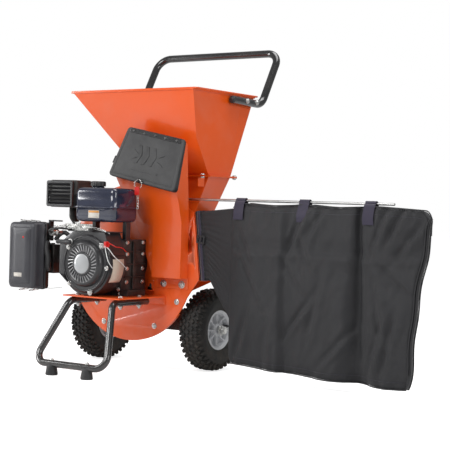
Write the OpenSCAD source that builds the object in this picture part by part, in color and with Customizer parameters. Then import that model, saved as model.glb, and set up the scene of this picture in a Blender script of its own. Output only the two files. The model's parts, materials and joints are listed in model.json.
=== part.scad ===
// Petrol wood chipper and shredder with a collection bag. Millimetres, +Z up, engine at -Y, bag at +X.
// Sizes below are given in a machine frame: X = 0 and crank_z at the crankshaft, Y = 0 over the stand feet.

/* [Rotor housing] */
// Height of the crankshaft above the floor
crank_z = 340; // [330:5:420]
// Outside radius of the round housing
housing_r = 252; // [240:2:290]
// Front face of the housing's front plate
housing_y = 320; // [315:5:360]
// Depth of the housing over both plates
housing_depth = 110; // [100:5:150]
// Inside radius of the rotor chamber behind the front plate
chamber_r = 174; // [172:1:200]
// Thickness of the housing plates
plate_t = 4; // [3:0.5:6]
// Height of the discharge opening
outlet_h = 208; // [170:2:220]
// Backward tilt of the discharge opening
outlet_tilt = 7; // [4:1:10]
// Length of the collar that the bag is strapped to
collar_len = 32; // [20:2:40]

/* [Rotor] */
// Crankshaft diameter
shaft_d = 25; // [19:1:30]
// Radius of the rotor disc
disc_r = 156; // [140:2:160]
// Thickness of the rotor disc
disc_t = 12; // [8:1:16]
// Radius on which the hammer pins stand
pin_ring_r = 112; // [106:1:118]
// Diameter of the hammer pins
pin_d = 12; // [10:1:16]
// Reach of a hammer beyond its pin
hammer_reach = 54; // [44:1:54]
// Radial clearance of a running fit
run_clear = 0.08; // [0.05:0.01:0.1]

/* [Hopper] */
// Height of the hopper's rim
rim_z = 896; // [850:2:960]
// Width of the hopper at the rim
rim_w = 500; // [440:5:600]
// Depth of the hopper at the rim
rim_depth = 338; // [300:2:400]
// Distance of the right wall from the crankshaft
hopper_right = 260; // [255:1:290]
// Front edge of the rim
rim_y = 283; // [270:1:300]
// Height of the fold between the wide and the narrow part
fold_z = 742; // [700:2:780]
// Width of the hopper at the fold
fold_w = 347; // [300:1:420]
// Height of the joint between the upper and lower hopper
joint_z = 624; // [615:1:660]
// Sheet thickness of hopper and chute
sheet_t = 2.5; // [2:0.5:4]
// Width of the joint's bolting flange
flange_w = 16; // [12:1:22]

/* [Feed chute] */
// Width of the chute mouth along its upper edge
mouth_top_w = 228; // [190:2:260]
// Width of the chute mouth along its lower edge
mouth_bottom_w = 262; // [220:2:290]
// Height of the chute mouth
mouth_h = 150; // [120:2:170]
// Sideways roll of the chute mouth
mouth_roll = 11; // [0:1:15]
// Backward tilt of the chute mouth
mouth_tilt = 12.5; // [5:0.5:20]
// Width of the throat that meets the front plate
throat_w = 112; // [90:2:120]
// Thickness of the rubber cover
cover_t = 8; // [6:0.5:12]

/* [Wheels] */
// Outside diameter of the tyres
tyre_d = 264; // [240:2:280]
// Width of the tyres
tyre_w = 84; // [70:2:90]
// Diameter of the rim
rim_d = 124; // [110:2:140]
// Distance between the centres of the wheels
track = 456; // [452:2:540]
// Diameter of the axle
axle_d = 16; // [12:1:20]
// Distance of the axle behind the housing
axle_back = 32; // [28:1:60]
// Height and depth of the axle beam
beam_h = 70; // [50:2:90]
beam_w = 30; // [24:1:36]

/* [Stand] */
// Diameter of the stand tube
stand_d = 22; // [19:1:25]
// Sideways offset of the stand from the crankshaft
stand_x = 35; // [20:1:45]
// Width of the stand's foot bar
foot_bar_w = 294; // [260:2:340]
// Distance between the stand's arms
arm_gap = 172; // [165:1:190]
// Height of the rubber feet
foot_h = 26; // [20:1:32]
// Diameter of the rubber feet
foot_d = 38; // [30:1:44]

/* [Handle] */
// Diameter of the handle tube
handle_d = 25; // [22:1:30]
// Height of the handle's top bar
handle_z = 1053; // [1000:2:1120]
// How far the top bar stands behind the crankshaft's front end
handle_y = 748; // [720:2:800]

/* [Engine] */
// Outside radius of the fan cover
cowl_r = 98; // [94:1:104]
// Front face of the recoil starter
recoil_y = 80; // [76:1:86]
// Fuel tank size along X, Y and Z
tank_size = [163, 118, 107]; // [100:1:200]
// Air cleaner size along X, Y and Z
cleaner_size = [115, 72, 212]; // [60:1:230]
// Muffler size along X, Y and Z
muffler_size = [120, 96, 88]; // [60:1:140]

/* [Bag] */
// Thickness of the hanging bag
bag_t = 92; // [80:2:110]
// Height of the bag's hem above the floor
bag_low = 26; // [20:1:60]
// Length of the bag's body
bag_len = 660; // [560:5:760]
// Height of the rod that the bag hangs from
rod_z = 549; // [540:1:560]
// Diameter of the bag rod
rod_d = 8; // [6:0.5:10]

/* [Hidden] */
$fn = 48;
eps = 0.01;
gap = 0.3;

orange = "orangered";
black = [0.08, 0.08, 0.09];
steel = "silver";

// Housing stations along Y
plate_back = housing_y + plate_t;
rear_front = housing_y + housing_depth - plate_t;
rear_back = housing_y + housing_depth;
mid_y = housing_y + housing_depth / 2;
// Corners of the discharge opening, as [x, z]
outlet_low = [housing_r + 24, crank_z - 40];
outlet_top = outlet_low + outlet_h * [-sin(outlet_tilt), cos(outlet_tilt)];
outlet_mid = (outlet_low + outlet_top) / 2;
// Rotor stations along Y
disc_y = plate_back + 20;
pin_end = rear_front - 8;
// Hopper sections, as [x0, x1, y0, y1, z]
rim_back = rim_y + rim_depth;
hopper_left = hopper_right - rim_w;
fold_share = (rim_z - fold_z) / (rim_z - joint_z);
rim_section = [hopper_left, hopper_right, rim_y, rim_back, rim_z];
joint_section = [hopper_right - 270, hopper_right, housing_y + 59, rear_back + 66, joint_z];
fold_section = [hopper_right - fold_w, hopper_right, rim_y + 24,
    rim_back - (rim_back - rear_back - 66) * fold_share, fold_z];
neck_z = outlet_top[1] - 2;
neck_section = [30, hopper_right - 12, plate_back + 2, rear_front - 2, neck_z];
// Chute sections
throat_x = housing_r - 20;
throat_y = housing_y - 40;
throat_low = crank_z - 40;
throat_top = crank_z + 134;
mouth_rim = 14;
mouth_centre = [throat_x - 102, housing_y - 64, throat_top + 195];
// Wheels
wheel_r = tyre_d / 2;
axle_z = wheel_r;
axle_y = rear_back + axle_back;
wheel_x = track / 2;
axle_end = wheel_x + tyre_w / 2 + 14;
// Stand
bar_z = foot_h + stand_d / 2 - 2;
platform_z = crank_z - cowl_r - 2;
platform_t = 4;
arm_z = platform_z - platform_t - stand_d / 2;
arm_back = housing_y - 60;
foot_xs = [stand_x - 71, stand_x + 71];
arm_xs = [stand_x - arm_gap / 2, stand_x + arm_gap / 2];
stand_bolt_ys = [arm_back - 130, arm_back - 40];
// Handle
handle_xr = hopper_right + handle_d / 2 + 1;
handle_xl = hopper_left + 1;
handle_arm_z = rim_z - 22;
handle_bolt_ys = [rim_y + 262, rim_y + 317];
// Engine stations
cowl_front = recoil_y + 24;
cowl_back = cowl_front + 74;
case_back = housing_y;
tank_low = [-63, cowl_front + 8, crank_z + 129];
muffler_low = [-240, 176, crank_z + 172];
cleaner_low = [-295, recoil_y - 20, crank_z - 90];
carb_low = [-214, cleaner_low[1] + cleaner_size[1], crank_z - 6];
grip_at = [-56, recoil_y - 6, crank_z + 66];
flywheel_r = cowl_r - 14;
// Bag
rod_y = housing_y + 13;
rod_x0 = 150;
bag_x0 = outlet_low[0] + 118;
bag_x1 = bag_x0 + bag_len;
bag_y0 = mid_y - bag_t / 2 - 20;
bag_y1 = bag_y0 + bag_t;
bag_top = rod_z - rod_d / 2 - 3;
bag_wall = 3;
// The part's origin stands on the floor under the middle of its bounding box
x_min = cleaner_low[0] - 4;
x_max = bag_x1;
y_min = -foot_d / 2;
y_max = handle_y + handle_d / 2;
origin = [(x_min + x_max) / 2, (y_min + y_max) / 2, 0];

module place() { translate(-origin) children(); }

// Block between two corners
module block(lo, hi) { translate(lo) cube(hi - lo); }

// Outline drawn in X and Z, given depth from y0 to y1
module xz(y0, y1) { rotate([90, 0, 0]) translate([0, 0, -y1]) linear_extrude(y1 - y0) children(); }

module rod_x(d, x0, x1, y, z) { translate([x0, y, z]) rotate([0, 90, 0]) cylinder(d = d, h = x1 - x0); }
module rod_y(d, y0, y1, x, z) { translate([x, y1, z]) rotate([90, 0, 0]) cylinder(d = d, h = y1 - y0); }
module rod_z(d, z0, z1, x, y) { translate([x, y, z0]) cylinder(d = d, h = z1 - z0); }

// Side faces between rings of four points; with wrap, the last ring joins the first
function ring_sides(n, wrap) = [for (i = [0 : n - (wrap ? 1 : 2)]) for (k = [0 : 3])
    let (j = (i + 1) % n, a = 4 * i + k, b = 4 * i + (k + 1) % 4, c = 4 * j + (k + 1) % 4, d = 4 * j + k)
    each [[a, d, c], [a, c, b]]];
// Closed solid skinned over rings of four points
module skin(rings) {
    n = len(rings);
    e = 4 * n - 4;
    polyhedron(points = [for (r = rings) each r], convexity = 6,
        faces = concat([[0, 1, 2], [0, 2, 3], [e, e + 2, e + 1], [e, e + 3, e + 2]], ring_sides(n,
            false)));
}
module loft(a, b) { skin([a, b]); }
// Open sleeve: rings run up its outside and down its inside
module sleeve(rings) {
    polyhedron(points = [for (r = rings) each r], convexity = 6, faces = ring_sides(len(rings), true));
}

function rect(s, inset, dz) = [
    [s[0] + inset, s[2] + inset, s[4] + dz], [s[1] - inset, s[2] + inset, s[4] + dz],
    [s[1] - inset, s[3] - inset, s[4] + dz], [s[0] + inset, s[3] - inset, s[4] + dz]
];
function grown(s, by) = [s[0] - by, s[1] + by, s[2] - by, s[3] + by, s[4]];
function unit(v) = v / norm(v);

// Level section at height z on the walls between two sections
function between(lo, hi, z) = let (k = (z - lo[4]) / (hi[4] - lo[4])) lo + k * (hi - lo);
function at_height(s, z) = [s[0], s[1], s[2], s[3], z];

// Hexagon-headed bolt along -Y: head at y, shank towards +Y, nut at the far end
module bolt_y(x, y, z, d, grip_len) {
    rod_y(d, y - 0.5, y + grip_len + 2, x, z);
    for (at = [y - d * 0.7, y + grip_len])
        translate([x, at, z]) rotate([-90, 30, 0]) cylinder(d = d * 1.9, h = d * 0.7, $fn = 6);
}
module bolt_x(x, y, z, d, grip_len) {
    translate([x, y, z]) rotate([0, 0, -90]) bolt_y(0, 0, 0, d, grip_len);
}
module bolt_z(x, y, z, d, grip_len) {
    translate([x, y, z]) rotate([-90, 0, 0]) bolt_y(0, 0, 0, d, grip_len);
}

// Points of a path whose corners are rounded with arcs of radius bend
function turn(a, b, c) = acos(max(-1, min(1, unit(b - a) * unit(c - b))));
function corner_arc(a, b, c, bend, steps) = let (
        u = unit(b - a), w = unit(c - b), whole = turn(a, b, c),
        start = b - u * bend * tan(whole / 2), side = cross(unit(cross(u, w)), u))
    [for (k = [0 : steps]) let (at = whole * k / steps) start + bend * (sin(at) * u + (1 - cos(at)) * side)];
function bent_path(p, bend) = concat([p[0]],
    [for (i = [1 : len(p) - 2]) each corner_arc(p[i - 1], p[i], p[i + 1], bend, 7)], [p[len(p) - 1]]);

// Tube with flat sides swept through points
module swept(p, r, sides) {
    n = len(p);
    step = 360 / sides;
    function dir(i) = unit(p[min(i + 1, n - 1)] - p[max(i - 1, 0)]);
    function ring(i) = let (d = dir(i), s = unit(cross(d, [0.31, 0.17, 0.93])), t = cross(d, s))
        [for (k = [0 : sides - 1]) p[i] + r * (cos(k * step) * s + sin(k * step) * t)];
    polyhedron(points = [for (i = [0 : n - 1]) each ring(i)], faces = concat(
        [[for (k = [0 : sides - 1]) k]],
        [for (i = [0 : n - 2]) for (k = [0 : sides - 1]) let (a = i * sides + k,
            b = i * sides + (k + 1) % sides)
            each [[a, a + sides, b], [b, a + sides, b + sides]]],
        [[for (k = [sides - 1 : -1 : 0]) (n - 1) * sides + k]]));
}

// ---- Rotor housing ----

module front_outline() {
    translate([0, crank_z]) circle(r = housing_r, $fn = 96);
    polygon([[0, crank_z], [20, crank_z + housing_r - 2], [110,
        outlet_top[1] + 0.586 * (outlet_top[0] - 110)],
        outlet_top, outlet_low, [housing_r * 0.8, crank_z - housing_r * 0.56]]);
}

wall_r = chamber_r + plate_t;
module rear_outline() {
    translate([0, crank_z]) circle(r = wall_r + 4, $fn = 96);
    polygon([[0, crank_z], [neck_section[0], neck_z], [outlet_top[0], neck_z], outlet_low,
        [wall_r * 0.8, crank_z - wall_r * 0.55]]);
}

bolt_d = 8;
plate_bolt_r = housing_r - 28;
plate_bolts = [for (a = [105, 140, 175, 210, 242, 298, 329])
    [plate_bolt_r * cos(a), crank_z + plate_bolt_r * sin(a)]];
module plate_bolt_holes(y) {
    for (p = plate_bolts) rod_y(bolt_d + 0.6, y - 1, y + plate_t + 1, p[0], p[1]);
}

throat_bolt_z = throat_low - 20;
throat_bolts = [[throat_x - throat_w + 20, throat_bolt_z], [throat_x - 20, throat_bolt_z]];
pilot_d = 80;

module housing_front_plate() {
    color(orange) difference() {
        xz(housing_y, plate_back) front_outline();
        plate_bolt_holes(housing_y);
        rod_y(pilot_d, housing_y - 1, plate_back + 1, 0, crank_z);
        intersection() {
            block([throat_x - throat_w + 6, housing_y - 1, throat_low + 6], [throat_x, plate_back + 1,
                crank_z + 100]);
            rod_y(2 * chamber_r - 8, housing_y - 2, plate_back + 2, 0, crank_z);
        }
        for (p = throat_bolts) rod_y(bolt_d + 0.6, housing_y - 1, plate_back + 1, p[0], p[1]);
    }
}

module housing_rear_plate() {
    color(orange) xz(rear_front, rear_back) rear_outline();
}

// Rolled wall of the rotor chamber with its bolting flange and the walls that lead to the outlet
module housing_scroll() {
    open_from = -15;
    open_to = acos((neck_section[0] - 6) / wall_r);
    low = [wall_r * cos(open_from), crank_z + wall_r * sin(open_from)];
    shelf = [wall_r * cos(38), crank_z + wall_r * sin(38)];
    color(orange) {
        difference() {
            union() {
                xz(plate_back, rear_front) difference() {
                    translate([0, crank_z]) circle(r = wall_r, $fn = 96);
                    translate([0, crank_z]) circle(r = chamber_r, $fn = 96);
                    polygon([[0, crank_z], 500 * [cos(open_to), sin(open_to)] + [0, crank_z], [500,
                        crank_z + 500],
                        500 * [cos(open_from), sin(open_from)] + [0, crank_z]]);
                }
                xz(plate_back, plate_back + plate_t) difference() {
                    translate([0, crank_z]) circle(r = plate_bolt_r + 12, $fn = 96);
                    translate([0, crank_z]) circle(r = wall_r - 1, $fn = 96);
                    polygon([[0, crank_z], [0, crank_z + 500], [500, crank_z + 500], [500,
                        crank_z - 60], [130, crank_z - 60]]);
                }
            }
            plate_bolt_holes(plate_back);
            for (p = throat_bolts) rod_y(bolt_d * 2.4, plate_back - 1, plate_back + 30, p[0], p[1]);
        }
        xz(plate_back, rear_front) {
            polygon([low + [-6, -5], outlet_low + [-1, -6], outlet_low + [-1, -2], low + [-6, -1]]);
            polygon([shelf, [neck_section[1], neck_z - 6], [neck_section[1], neck_z - 2], shelf + [0,
                4]]);
        }
    }
}

// The collar's own frame: u points out of the opening, v up along it
module at_outlet() {
    translate([outlet_mid[0], mid_y, outlet_mid[1]]) rotate([0, -outlet_tilt, 0]) children();
}

collar_w = housing_depth - 2 * plate_t;
module outlet_collar() {
    w = collar_w;
    color(orange) at_outlet() difference() {
        block([gap, -w / 2, -outlet_h / 2 + 4], [collar_len, w / 2, outlet_h / 2 - 4]);
        block([-1, -w / 2 + sheet_t, -outlet_h / 2 + 4 + sheet_t], [collar_len + 1, w / 2 - sheet_t,
            outlet_h / 2 - 4 - sheet_t]);
    }
}

// Grate of round bars around the rotor on the discharge side
module discharge_screen() {
    r = chamber_r + 2;
    color(steel) for (a = [-8 : 6 : 32])
        rod_y(6, plate_back + gap, rear_front - gap, r * cos(a), crank_z + r * sin(a));
}

module engine_platform() {
    lip = 26;
    x0 = arm_xs[0] - 30;
    x1 = arm_xs[1] + 26;
    color(orange) difference() {
        union() {
            block([x0, recoil_y + 10, platform_z - platform_t], [x1, housing_y - gap, platform_z]);
            block([x0, housing_y - gap - platform_t, platform_z - lip], [x1, housing_y - gap,
                platform_z]);
        }
        for (x = arm_xs) for (y = stand_bolt_ys)
            rod_z(bolt_d + 0.6, platform_z - platform_t - 1, platform_z + 1, x, y);
    }
}

// ---- Hopper ----

module lower_hopper() {
    t = sheet_t;
    low = joint_z - t;
    color(orange) difference() {
        sleeve([
            rect(neck_section, 0, 0), rect(between(neck_section, joint_section, low), 0, 0),
            rect(at_height(grown(joint_section, flange_w), low), 0, 0), rect(grown(joint_section,
                flange_w), 0, 0),
            rect(joint_section, t, 0), rect(neck_section, t, 0)
        ]);
        rod_y(2 * wall_r + 9, plate_back - 1, rear_back + 80, 0, crank_z);
        joint_holes(low);
    }
}

module upper_hopper() {
    t = sheet_t;
    band = 7;
    flange_top = joint_z + t;
    color(orange) difference() {
        sleeve([
            rect(grown(joint_section, flange_w), 0, 0), rect(grown(joint_section, flange_w), 0, t),
            rect(between(joint_section, fold_section, flange_top), 0, 0), rect(fold_section, 0, 0),
            rect(between(fold_section, rim_section, rim_z - band), 0, 0), rect(grown(rim_section, 2), 0,
                -band),
            rect(grown(rim_section, 2), 0, 0), rect(rim_section, t, 0), rect(fold_section, t, 0),
                rect(joint_section, t, 0)
        ]);
        joint_holes(joint_z);
        for (y = handle_bolt_ys) {
            rod_x(bolt_d + 0.6, hopper_right - 10, hopper_right + 10, y, handle_arm_z);
            rod_x(bolt_d + 0.6, hopper_left - 10, hopper_left + 60, y, handle_arm_z);
        }
    }
}

joint_bolts = let (s = grown(joint_section, flange_w * 0.6))
    [[s[0], s[2]], [(s[0] + s[1]) / 2, s[2]], [s[1], s[2]], [s[0], s[3]], [(s[0] + s[1]) / 2, s[3]],
        [s[1], s[3]]];
module joint_holes(z) {
    for (p = joint_bolts) rod_z(6.6, z - 1, z + sheet_t + 1, p[0], p[1]);
}

module hopper_bolts() {
    color(steel) {
        for (p = joint_bolts) bolt_z(p[0], p[1], joint_z + sheet_t, 6, 2 * sheet_t);
        for (p = plate_bolts) bolt_y(p[0], housing_y, p[1], bolt_d, 2 * plate_t);
    }
}

// ---- Feed chute ----

// Corners of the mouth plane, counted from lower left, at a share of its size
function mouth_corner(sx, sz, w, h, lift) = let (
        a = sx * w / 2, b = sz * h / 2,
        x = a * cos(mouth_roll) + b * sin(mouth_roll),
        z = -a * sin(mouth_roll) + b * cos(mouth_roll))
    mouth_centre + [x, z * sin(mouth_tilt) - lift * cos(mouth_tilt),
        z * cos(mouth_tilt) + lift * sin(mouth_tilt)];
function mouth_ring(inset, lift) = [
    mouth_corner(-1, -1, mouth_bottom_w - 2 * inset, mouth_h - 2 * inset, lift),
    mouth_corner(1, -1, mouth_bottom_w - 2 * inset, mouth_h - 2 * inset, lift),
    mouth_corner(1, 1, mouth_top_w - 2 * inset, mouth_h - 2 * inset, lift),
    mouth_corner(-1, 1, mouth_top_w - 2 * inset, mouth_h - 2 * inset, lift)
];
chute_left = throat_x - throat_w;
function throat_ring(i, z, left, back) = [
    [chute_left + i, throat_y + i, z], [throat_x - i, throat_y + i, z], [throat_x - i, back, z],
        [left + i, back, z]
];

module feed_chute() {
    t = sheet_t;
    back = housing_y - gap;
    wide = chute_left - 109;
    foot = throat_bolt_z - 14;
    color(orange) difference() {
        union() {
            skin([
                throat_ring(0, throat_low, chute_left - 4, back), throat_ring(0, throat_top, wide, back),
                mouth_ring(0, 0), mouth_ring(0, mouth_rim), mouth_ring(t, mouth_rim), mouth_ring(t, 0),
                throat_ring(t, throat_top, wide + t, back - t), throat_ring(t, throat_low + t,
                    chute_left - 4 + t, back - t)
            ]);
            block([chute_left - 6, back - t, foot], [throat_x + 4, back, throat_low + 1]);
        }
        block([chute_left + 6, back - 2 * t, throat_low + 6], [throat_x - 6, back + 1, throat_top - 14]);
        for (p = throat_bolts) rod_y(bolt_d + 0.6, back - 5, back + 2, p[0], p[1]);
    }
}

module chute_bolts() {
    color(steel) for (p = throat_bolts)
        bolt_y(p[0], housing_y - gap - sheet_t, p[1], bolt_d, plate_t + sheet_t + gap);
}

// Thick rubber flap, hinged along the mouth's upper edge, with a skirt around the other three sides
cover_over = 8;
skirt_gap = 3;
skirt = 11;
cover_lift = mouth_rim + gap;
ring_r = 16;
ring_wire = 3;
hook_at = mouth_corner(-0.05, -1, mouth_bottom_w, mouth_h + 2 * cover_over - 14, cover_lift + cover_t);
function skirt_ring(lift) = let (w = 2 * skirt_gap, far = 1.5) [
    mouth_corner(-1, -1, mouth_bottom_w + w, mouth_h + w, lift),
    mouth_corner(1, -1, mouth_bottom_w + w, mouth_h + w, lift),
    mouth_corner(1, far, mouth_top_w + w - 8, mouth_h + w, lift),
    mouth_corner(-1, far, mouth_top_w + w - 8, mouth_h + w, lift)
];

// The cover turns on a pin along its upper edge
hinge_d = 5;
hinge_at = mouth_corner(-1, 1, mouth_top_w - 20, mouth_h + 2 * cover_over, cover_lift);
hinge_end = mouth_corner(1, 1, mouth_top_w - 20, mouth_h + 2 * cover_over, cover_lift);
module orient_along(v) { rotate([0, acos(v[2] / norm(v)), atan2(v[1], v[0])]) children(); }

module chute_cover() {
    color(black) {
        difference() {
            loft(mouth_ring(-cover_over, cover_lift - skirt), mouth_ring(-cover_over,
                cover_lift + cover_t));
            loft(skirt_ring(cover_lift - skirt - 1), skirt_ring(cover_lift));
        }
        translate(hinge_at) orient_along(hinge_end - hinge_at) cylinder(d = hinge_d,
            h = norm(hinge_end - hinge_at));
        rod_y(ring_wire, hook_at[1] - 9, hook_at[1] + 2, hook_at[0], hook_at[2]);
        rod_y(8, hook_at[1] - 11, hook_at[1] - 9 + eps, hook_at[0], hook_at[2]);
    }
}

tag_at = hook_at + [0, -5, 1.5 * ring_wire + 0.3 - ring_r];
module tag_ring() {
    color(steel) {
        translate(tag_at) rotate([90, 0, 0]) rotate_extrude() translate([ring_r - ring_wire / 2,
            0]) circle(d = ring_wire);
        for (i = [0 : 5]) translate(tag_at - [0, 0, ring_r + 6.4 + 10.8 * i]) rotate([0, 0, 45])
            rotate([90, 0, 0]) rotate_extrude() translate([4, 0]) circle(d = 2);
    }
}

module red_tag() {
    color("red") translate(tag_at + [-9, -6, -34]) cube([18, 1.5, 26]);
}

// ---- Handle and stand ----

module handle_tube() {
    color(black) difference() {
        swept(bent_path([
            [handle_xr, rim_y + 187, handle_arm_z], [handle_xr, rim_y + 362, handle_arm_z - 4],
            [handle_xr, handle_y, handle_z], [handle_xl, handle_y, handle_z],
            [handle_xl, rim_y + 362, handle_arm_z - 4], [handle_xl, rim_y + 187, handle_arm_z]
        ], 48), handle_d / 2, 16);
        for (x = [handle_xr, handle_xl]) for (y = handle_bolt_ys)
            rod_x(bolt_d + 0.6, x - handle_d, x + handle_d, y, handle_arm_z);
    }
}

module handle_bolts() {
    color(steel) {
        for (y = handle_bolt_ys)
            bolt_x(hopper_right - sheet_t, y, handle_arm_z, bolt_d, handle_d + sheet_t + 1);
        for (y = handle_bolt_ys) bolt_x(handle_xl - handle_d / 2, y, handle_arm_z, bolt_d, handle_d * 2);
    }
}

module stand_tube() {
    half = foot_bar_w / 2;
    color(black) difference() {
        swept(bent_path([
            [arm_xs[0], arm_back, arm_z], [arm_xs[0], 92, arm_z], [stand_x - half, 0, bar_z],
            [stand_x + half, 0, bar_z], [arm_xs[1], 92, arm_z], [arm_xs[1], arm_back, arm_z]
        ], 34), stand_d / 2, 16);
        for (x = arm_xs) for (y = stand_bolt_ys) rod_z(bolt_d + 0.6, arm_z - 20, arm_z + 20, x, y);
        for (x = foot_xs) rod_z(6.6, bar_z - 20, bar_z + 20, x, 0);
    }
}

module stand_feet() {
    color(black) for (x = foot_xs) difference() {
        rod_z(foot_d, 0, bar_z - 2, x, 0);
        rod_x(stand_d + 0.1, x - foot_d, x + foot_d, 0, bar_z);
        rod_z(6.6, -1, bar_z, x, 0);
        rod_z(14, -1, 8, x, 0);
    }
}

module stand_bolts() {
    color(steel) {
        for (x = arm_xs) for (y = stand_bolt_ys)
            bolt_z(x, y, platform_z, bolt_d, platform_t + stand_d);
        for (x = foot_xs) bolt_z(x, 0, bar_z + stand_d / 2, 6, bar_z + stand_d / 2 - 8);
    }
}

// ---- Axle and wheels ----

module axle() {
    color(steel) rod_x(axle_d, -axle_end, axle_end, axle_y, axle_z);
}

module axle_beam() {
    half = wheel_x - tyre_w / 2 - 12;
    color(black) difference() {
        union() {
            block([-half, axle_y - beam_w / 2, axle_z - 12], [half, axle_y + beam_w / 2,
                axle_z + beam_h - 12]);
            for (x = [-60, 60]) block([x - 15, rear_back, axle_z + 34], [x + 15, axle_y,
                axle_z + beam_h + 20]);
        }
        rod_x(axle_d + 2 * run_clear, -half - 1, half + 1, axle_y, axle_z);
    }
}

module axle_nuts() {
    color(steel) for (s = [-1, 1]) {
        difference() {
            union() {
                translate([s * (axle_end - 9), axle_y, axle_z]) rotate([0, 90, 0])
                    cylinder(d = axle_d * 1.7, h = 12, center = true, $fn = 6);
                translate([s * (axle_end - 16.5), axle_y, axle_z]) rotate([0, 90, 0])
                    cylinder(d = axle_d * 2, h = 3, center = true);
            }
            rod_x(axle_d + 0.1, -axle_end - 20, axle_end + 20, axle_y, axle_z);
        }
    }
}

module at_wheel(s) { translate([s * wheel_x, axle_y, axle_z]) rotate([0, s * 90, 0]) children(); }

// Tyre section turned about the wheel's axis
module tyre(s) {
    h = tyre_w / 2;
    seat = rim_d / 2;
    color([0.1, 0.1, 0.1]) at_wheel(s) rotate_extrude($fn = 96) polygon([
        [seat + 0.05, -h + 12], [seat + 14, -h + 3], [seat + 36, -h], [wheel_r - 14, -h + 6], [wheel_r,
            -h + 20],
        [wheel_r, h - 20], [wheel_r - 14, h - 6], [seat + 36, h], [seat + 14, h - 3], [seat + 0.05,
            h - 12],
        [seat + 0.05, h - 16], [seat + 30, h - 10], [wheel_r - 16, h - 18], [wheel_r - 12, h - 24],
        [wheel_r - 12, -h + 24], [wheel_r - 16, -h + 18], [seat + 30, -h + 10], [seat + 0.05, -h + 16]
    ]);
}

module rim(s) {
    h = tyre_w / 2;
    r = rim_d / 2;
    spokes = 8;
    color([0.75, 0.75, 0.77]) at_wheel(s) difference() {
        union() {
            rotate_extrude($fn = 96) polygon([[r - 10, -h + 12], [r, -h + 12], [r, h - 12], [r - 10,
                h - 12],
                [r - 6, h - 20], [r - 6, -h + 20]]);
            translate([0, 0, -h + 6]) cylinder(r = 17, h = tyre_w - 16);
            for (i = [0 : spokes - 1]) rotate(i * 360 / spokes) block([14, -3.5, 6], [r - 5, 3.5,
                h - 18]);
        }
        translate([0, 0, -h]) cylinder(d = axle_d + 2 * run_clear, h = tyre_w);
    }
}
module tyre_left() { tyre(-1); }
module tyre_right() { tyre(1); }
module rim_left() { rim(-1); }
module rim_right() { rim(1); }

// ---- Engine ----

module crankcase() {
    color([0.62, 0.62, 0.63]) difference() {
        union() {
            xz(cowl_back + gap, case_back - 22) translate([-72, crank_z - 82]) square([152, 158]);
            xz(case_back - 22, case_back - gap) translate([0, crank_z]) circle(r = 70);
            block([-84, cowl_back + 14, platform_z + gap], [96, case_back - 40, crank_z - 81]);
        }
        for (x = arm_xs) for (y = stand_bolt_ys) rod_z(bolt_d * 2.4, platform_z, platform_z + 8, x, y);
        rod_y(shaft_d + 2 * run_clear, cowl_back - 1, case_back + 1, 0, crank_z);
    }
}

// Finned barrel that leans to the left, above the crankcase's left side
cyl_lean = 62;
module at_cylinder() { translate([-74, 238, crank_z + 10]) rotate([0, -cyl_lean, 0]) children(); }
module engine_cylinder() {
    color([0.55, 0.55, 0.57]) difference() {
        at_cylinder() {
            block([-38, -40, 10], [38, 40, 84]);
            for (i = [0 : 7]) block([-52, -52, 12 + 9 * i], [52, 52, 15 + 9 * i]);
        }
        block([-72 - gap, 0, 0], [300, 600, 900]);
    }
}

module valve_cover() {
    color(steel) at_cylinder() {
        block([-40, -34, 84 + gap], [40, 34, 104]);
        for (x = [-30, 30]) for (y = [-26, 26]) translate([x, y, 103.9]) cylinder(d = 9, h = 5, $fn = 6);
    }
}

module cowl_outline(inset) {
    r = cowl_r - inset;
    translate([0, crank_z]) circle(r = r, $fn = 96);
    polygon([[0, crank_z], [-r * 0.7, crank_z - r * 0.7], [-r - 14, crank_z - r * 0.35],
        [-r - 14, crank_z + r * 0.62], [-r * 0.6, crank_z + r]]);
    polygon([[0, crank_z], [-r * 0.6, crank_z + r], [r * 0.72, crank_z + r], [r, crank_z + r * 0.3]]);
}

module fan_cover() {
    color(black) difference() {
        xz(cowl_front, cowl_back) cowl_outline(0);
        xz(cowl_front + sheet_t, cowl_back + 1) cowl_outline(sheet_t);
        rod_y(132, cowl_front - 1, cowl_front + 5, 0, crank_z);
    }
}

module recoil_cover() {
    slots = 24;
    r = 76;
    color(black) difference() {
        translate([0, cowl_front - gap, crank_z]) rotate([90, 0, 0]) rotate_extrude($fn = 96) polygon([
            [0, 20], [0, 24], [58, 24], [68, 18], [r, 4], [r, 0], [r - 4, 0], [r - 4, 3], [65, 14.5],
                [56, 20]
        ]);
        for (i = [0 : slots - 1]) translate([0, 0, crank_z]) rotate([0, i * 360 / slots, 0])
            block([38, recoil_y - 2, -2.2], [60, recoil_y + 7, 2.2]);
        translate(grip_at) rotate([-90, 0, 0]) cylinder(d = 12, h = 40);
    }
}

module starter_grip() {
    color(black) {
        translate(grip_at - [0, 14, 0]) rotate([0, 90, 0]) cylinder(d = 15, h = 58, center = true);
        translate(grip_at - [0, 14, 0]) rotate([-90, 0, 0]) cylinder(d = 18, h = 12);
    }
}

module starter_rope() {
    color("dimgray") translate(grip_at - [0, 1.5, 0]) rotate([-90, 0, 0]) cylinder(d = 5, h = 24,
        $fn = 16);
}

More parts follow.
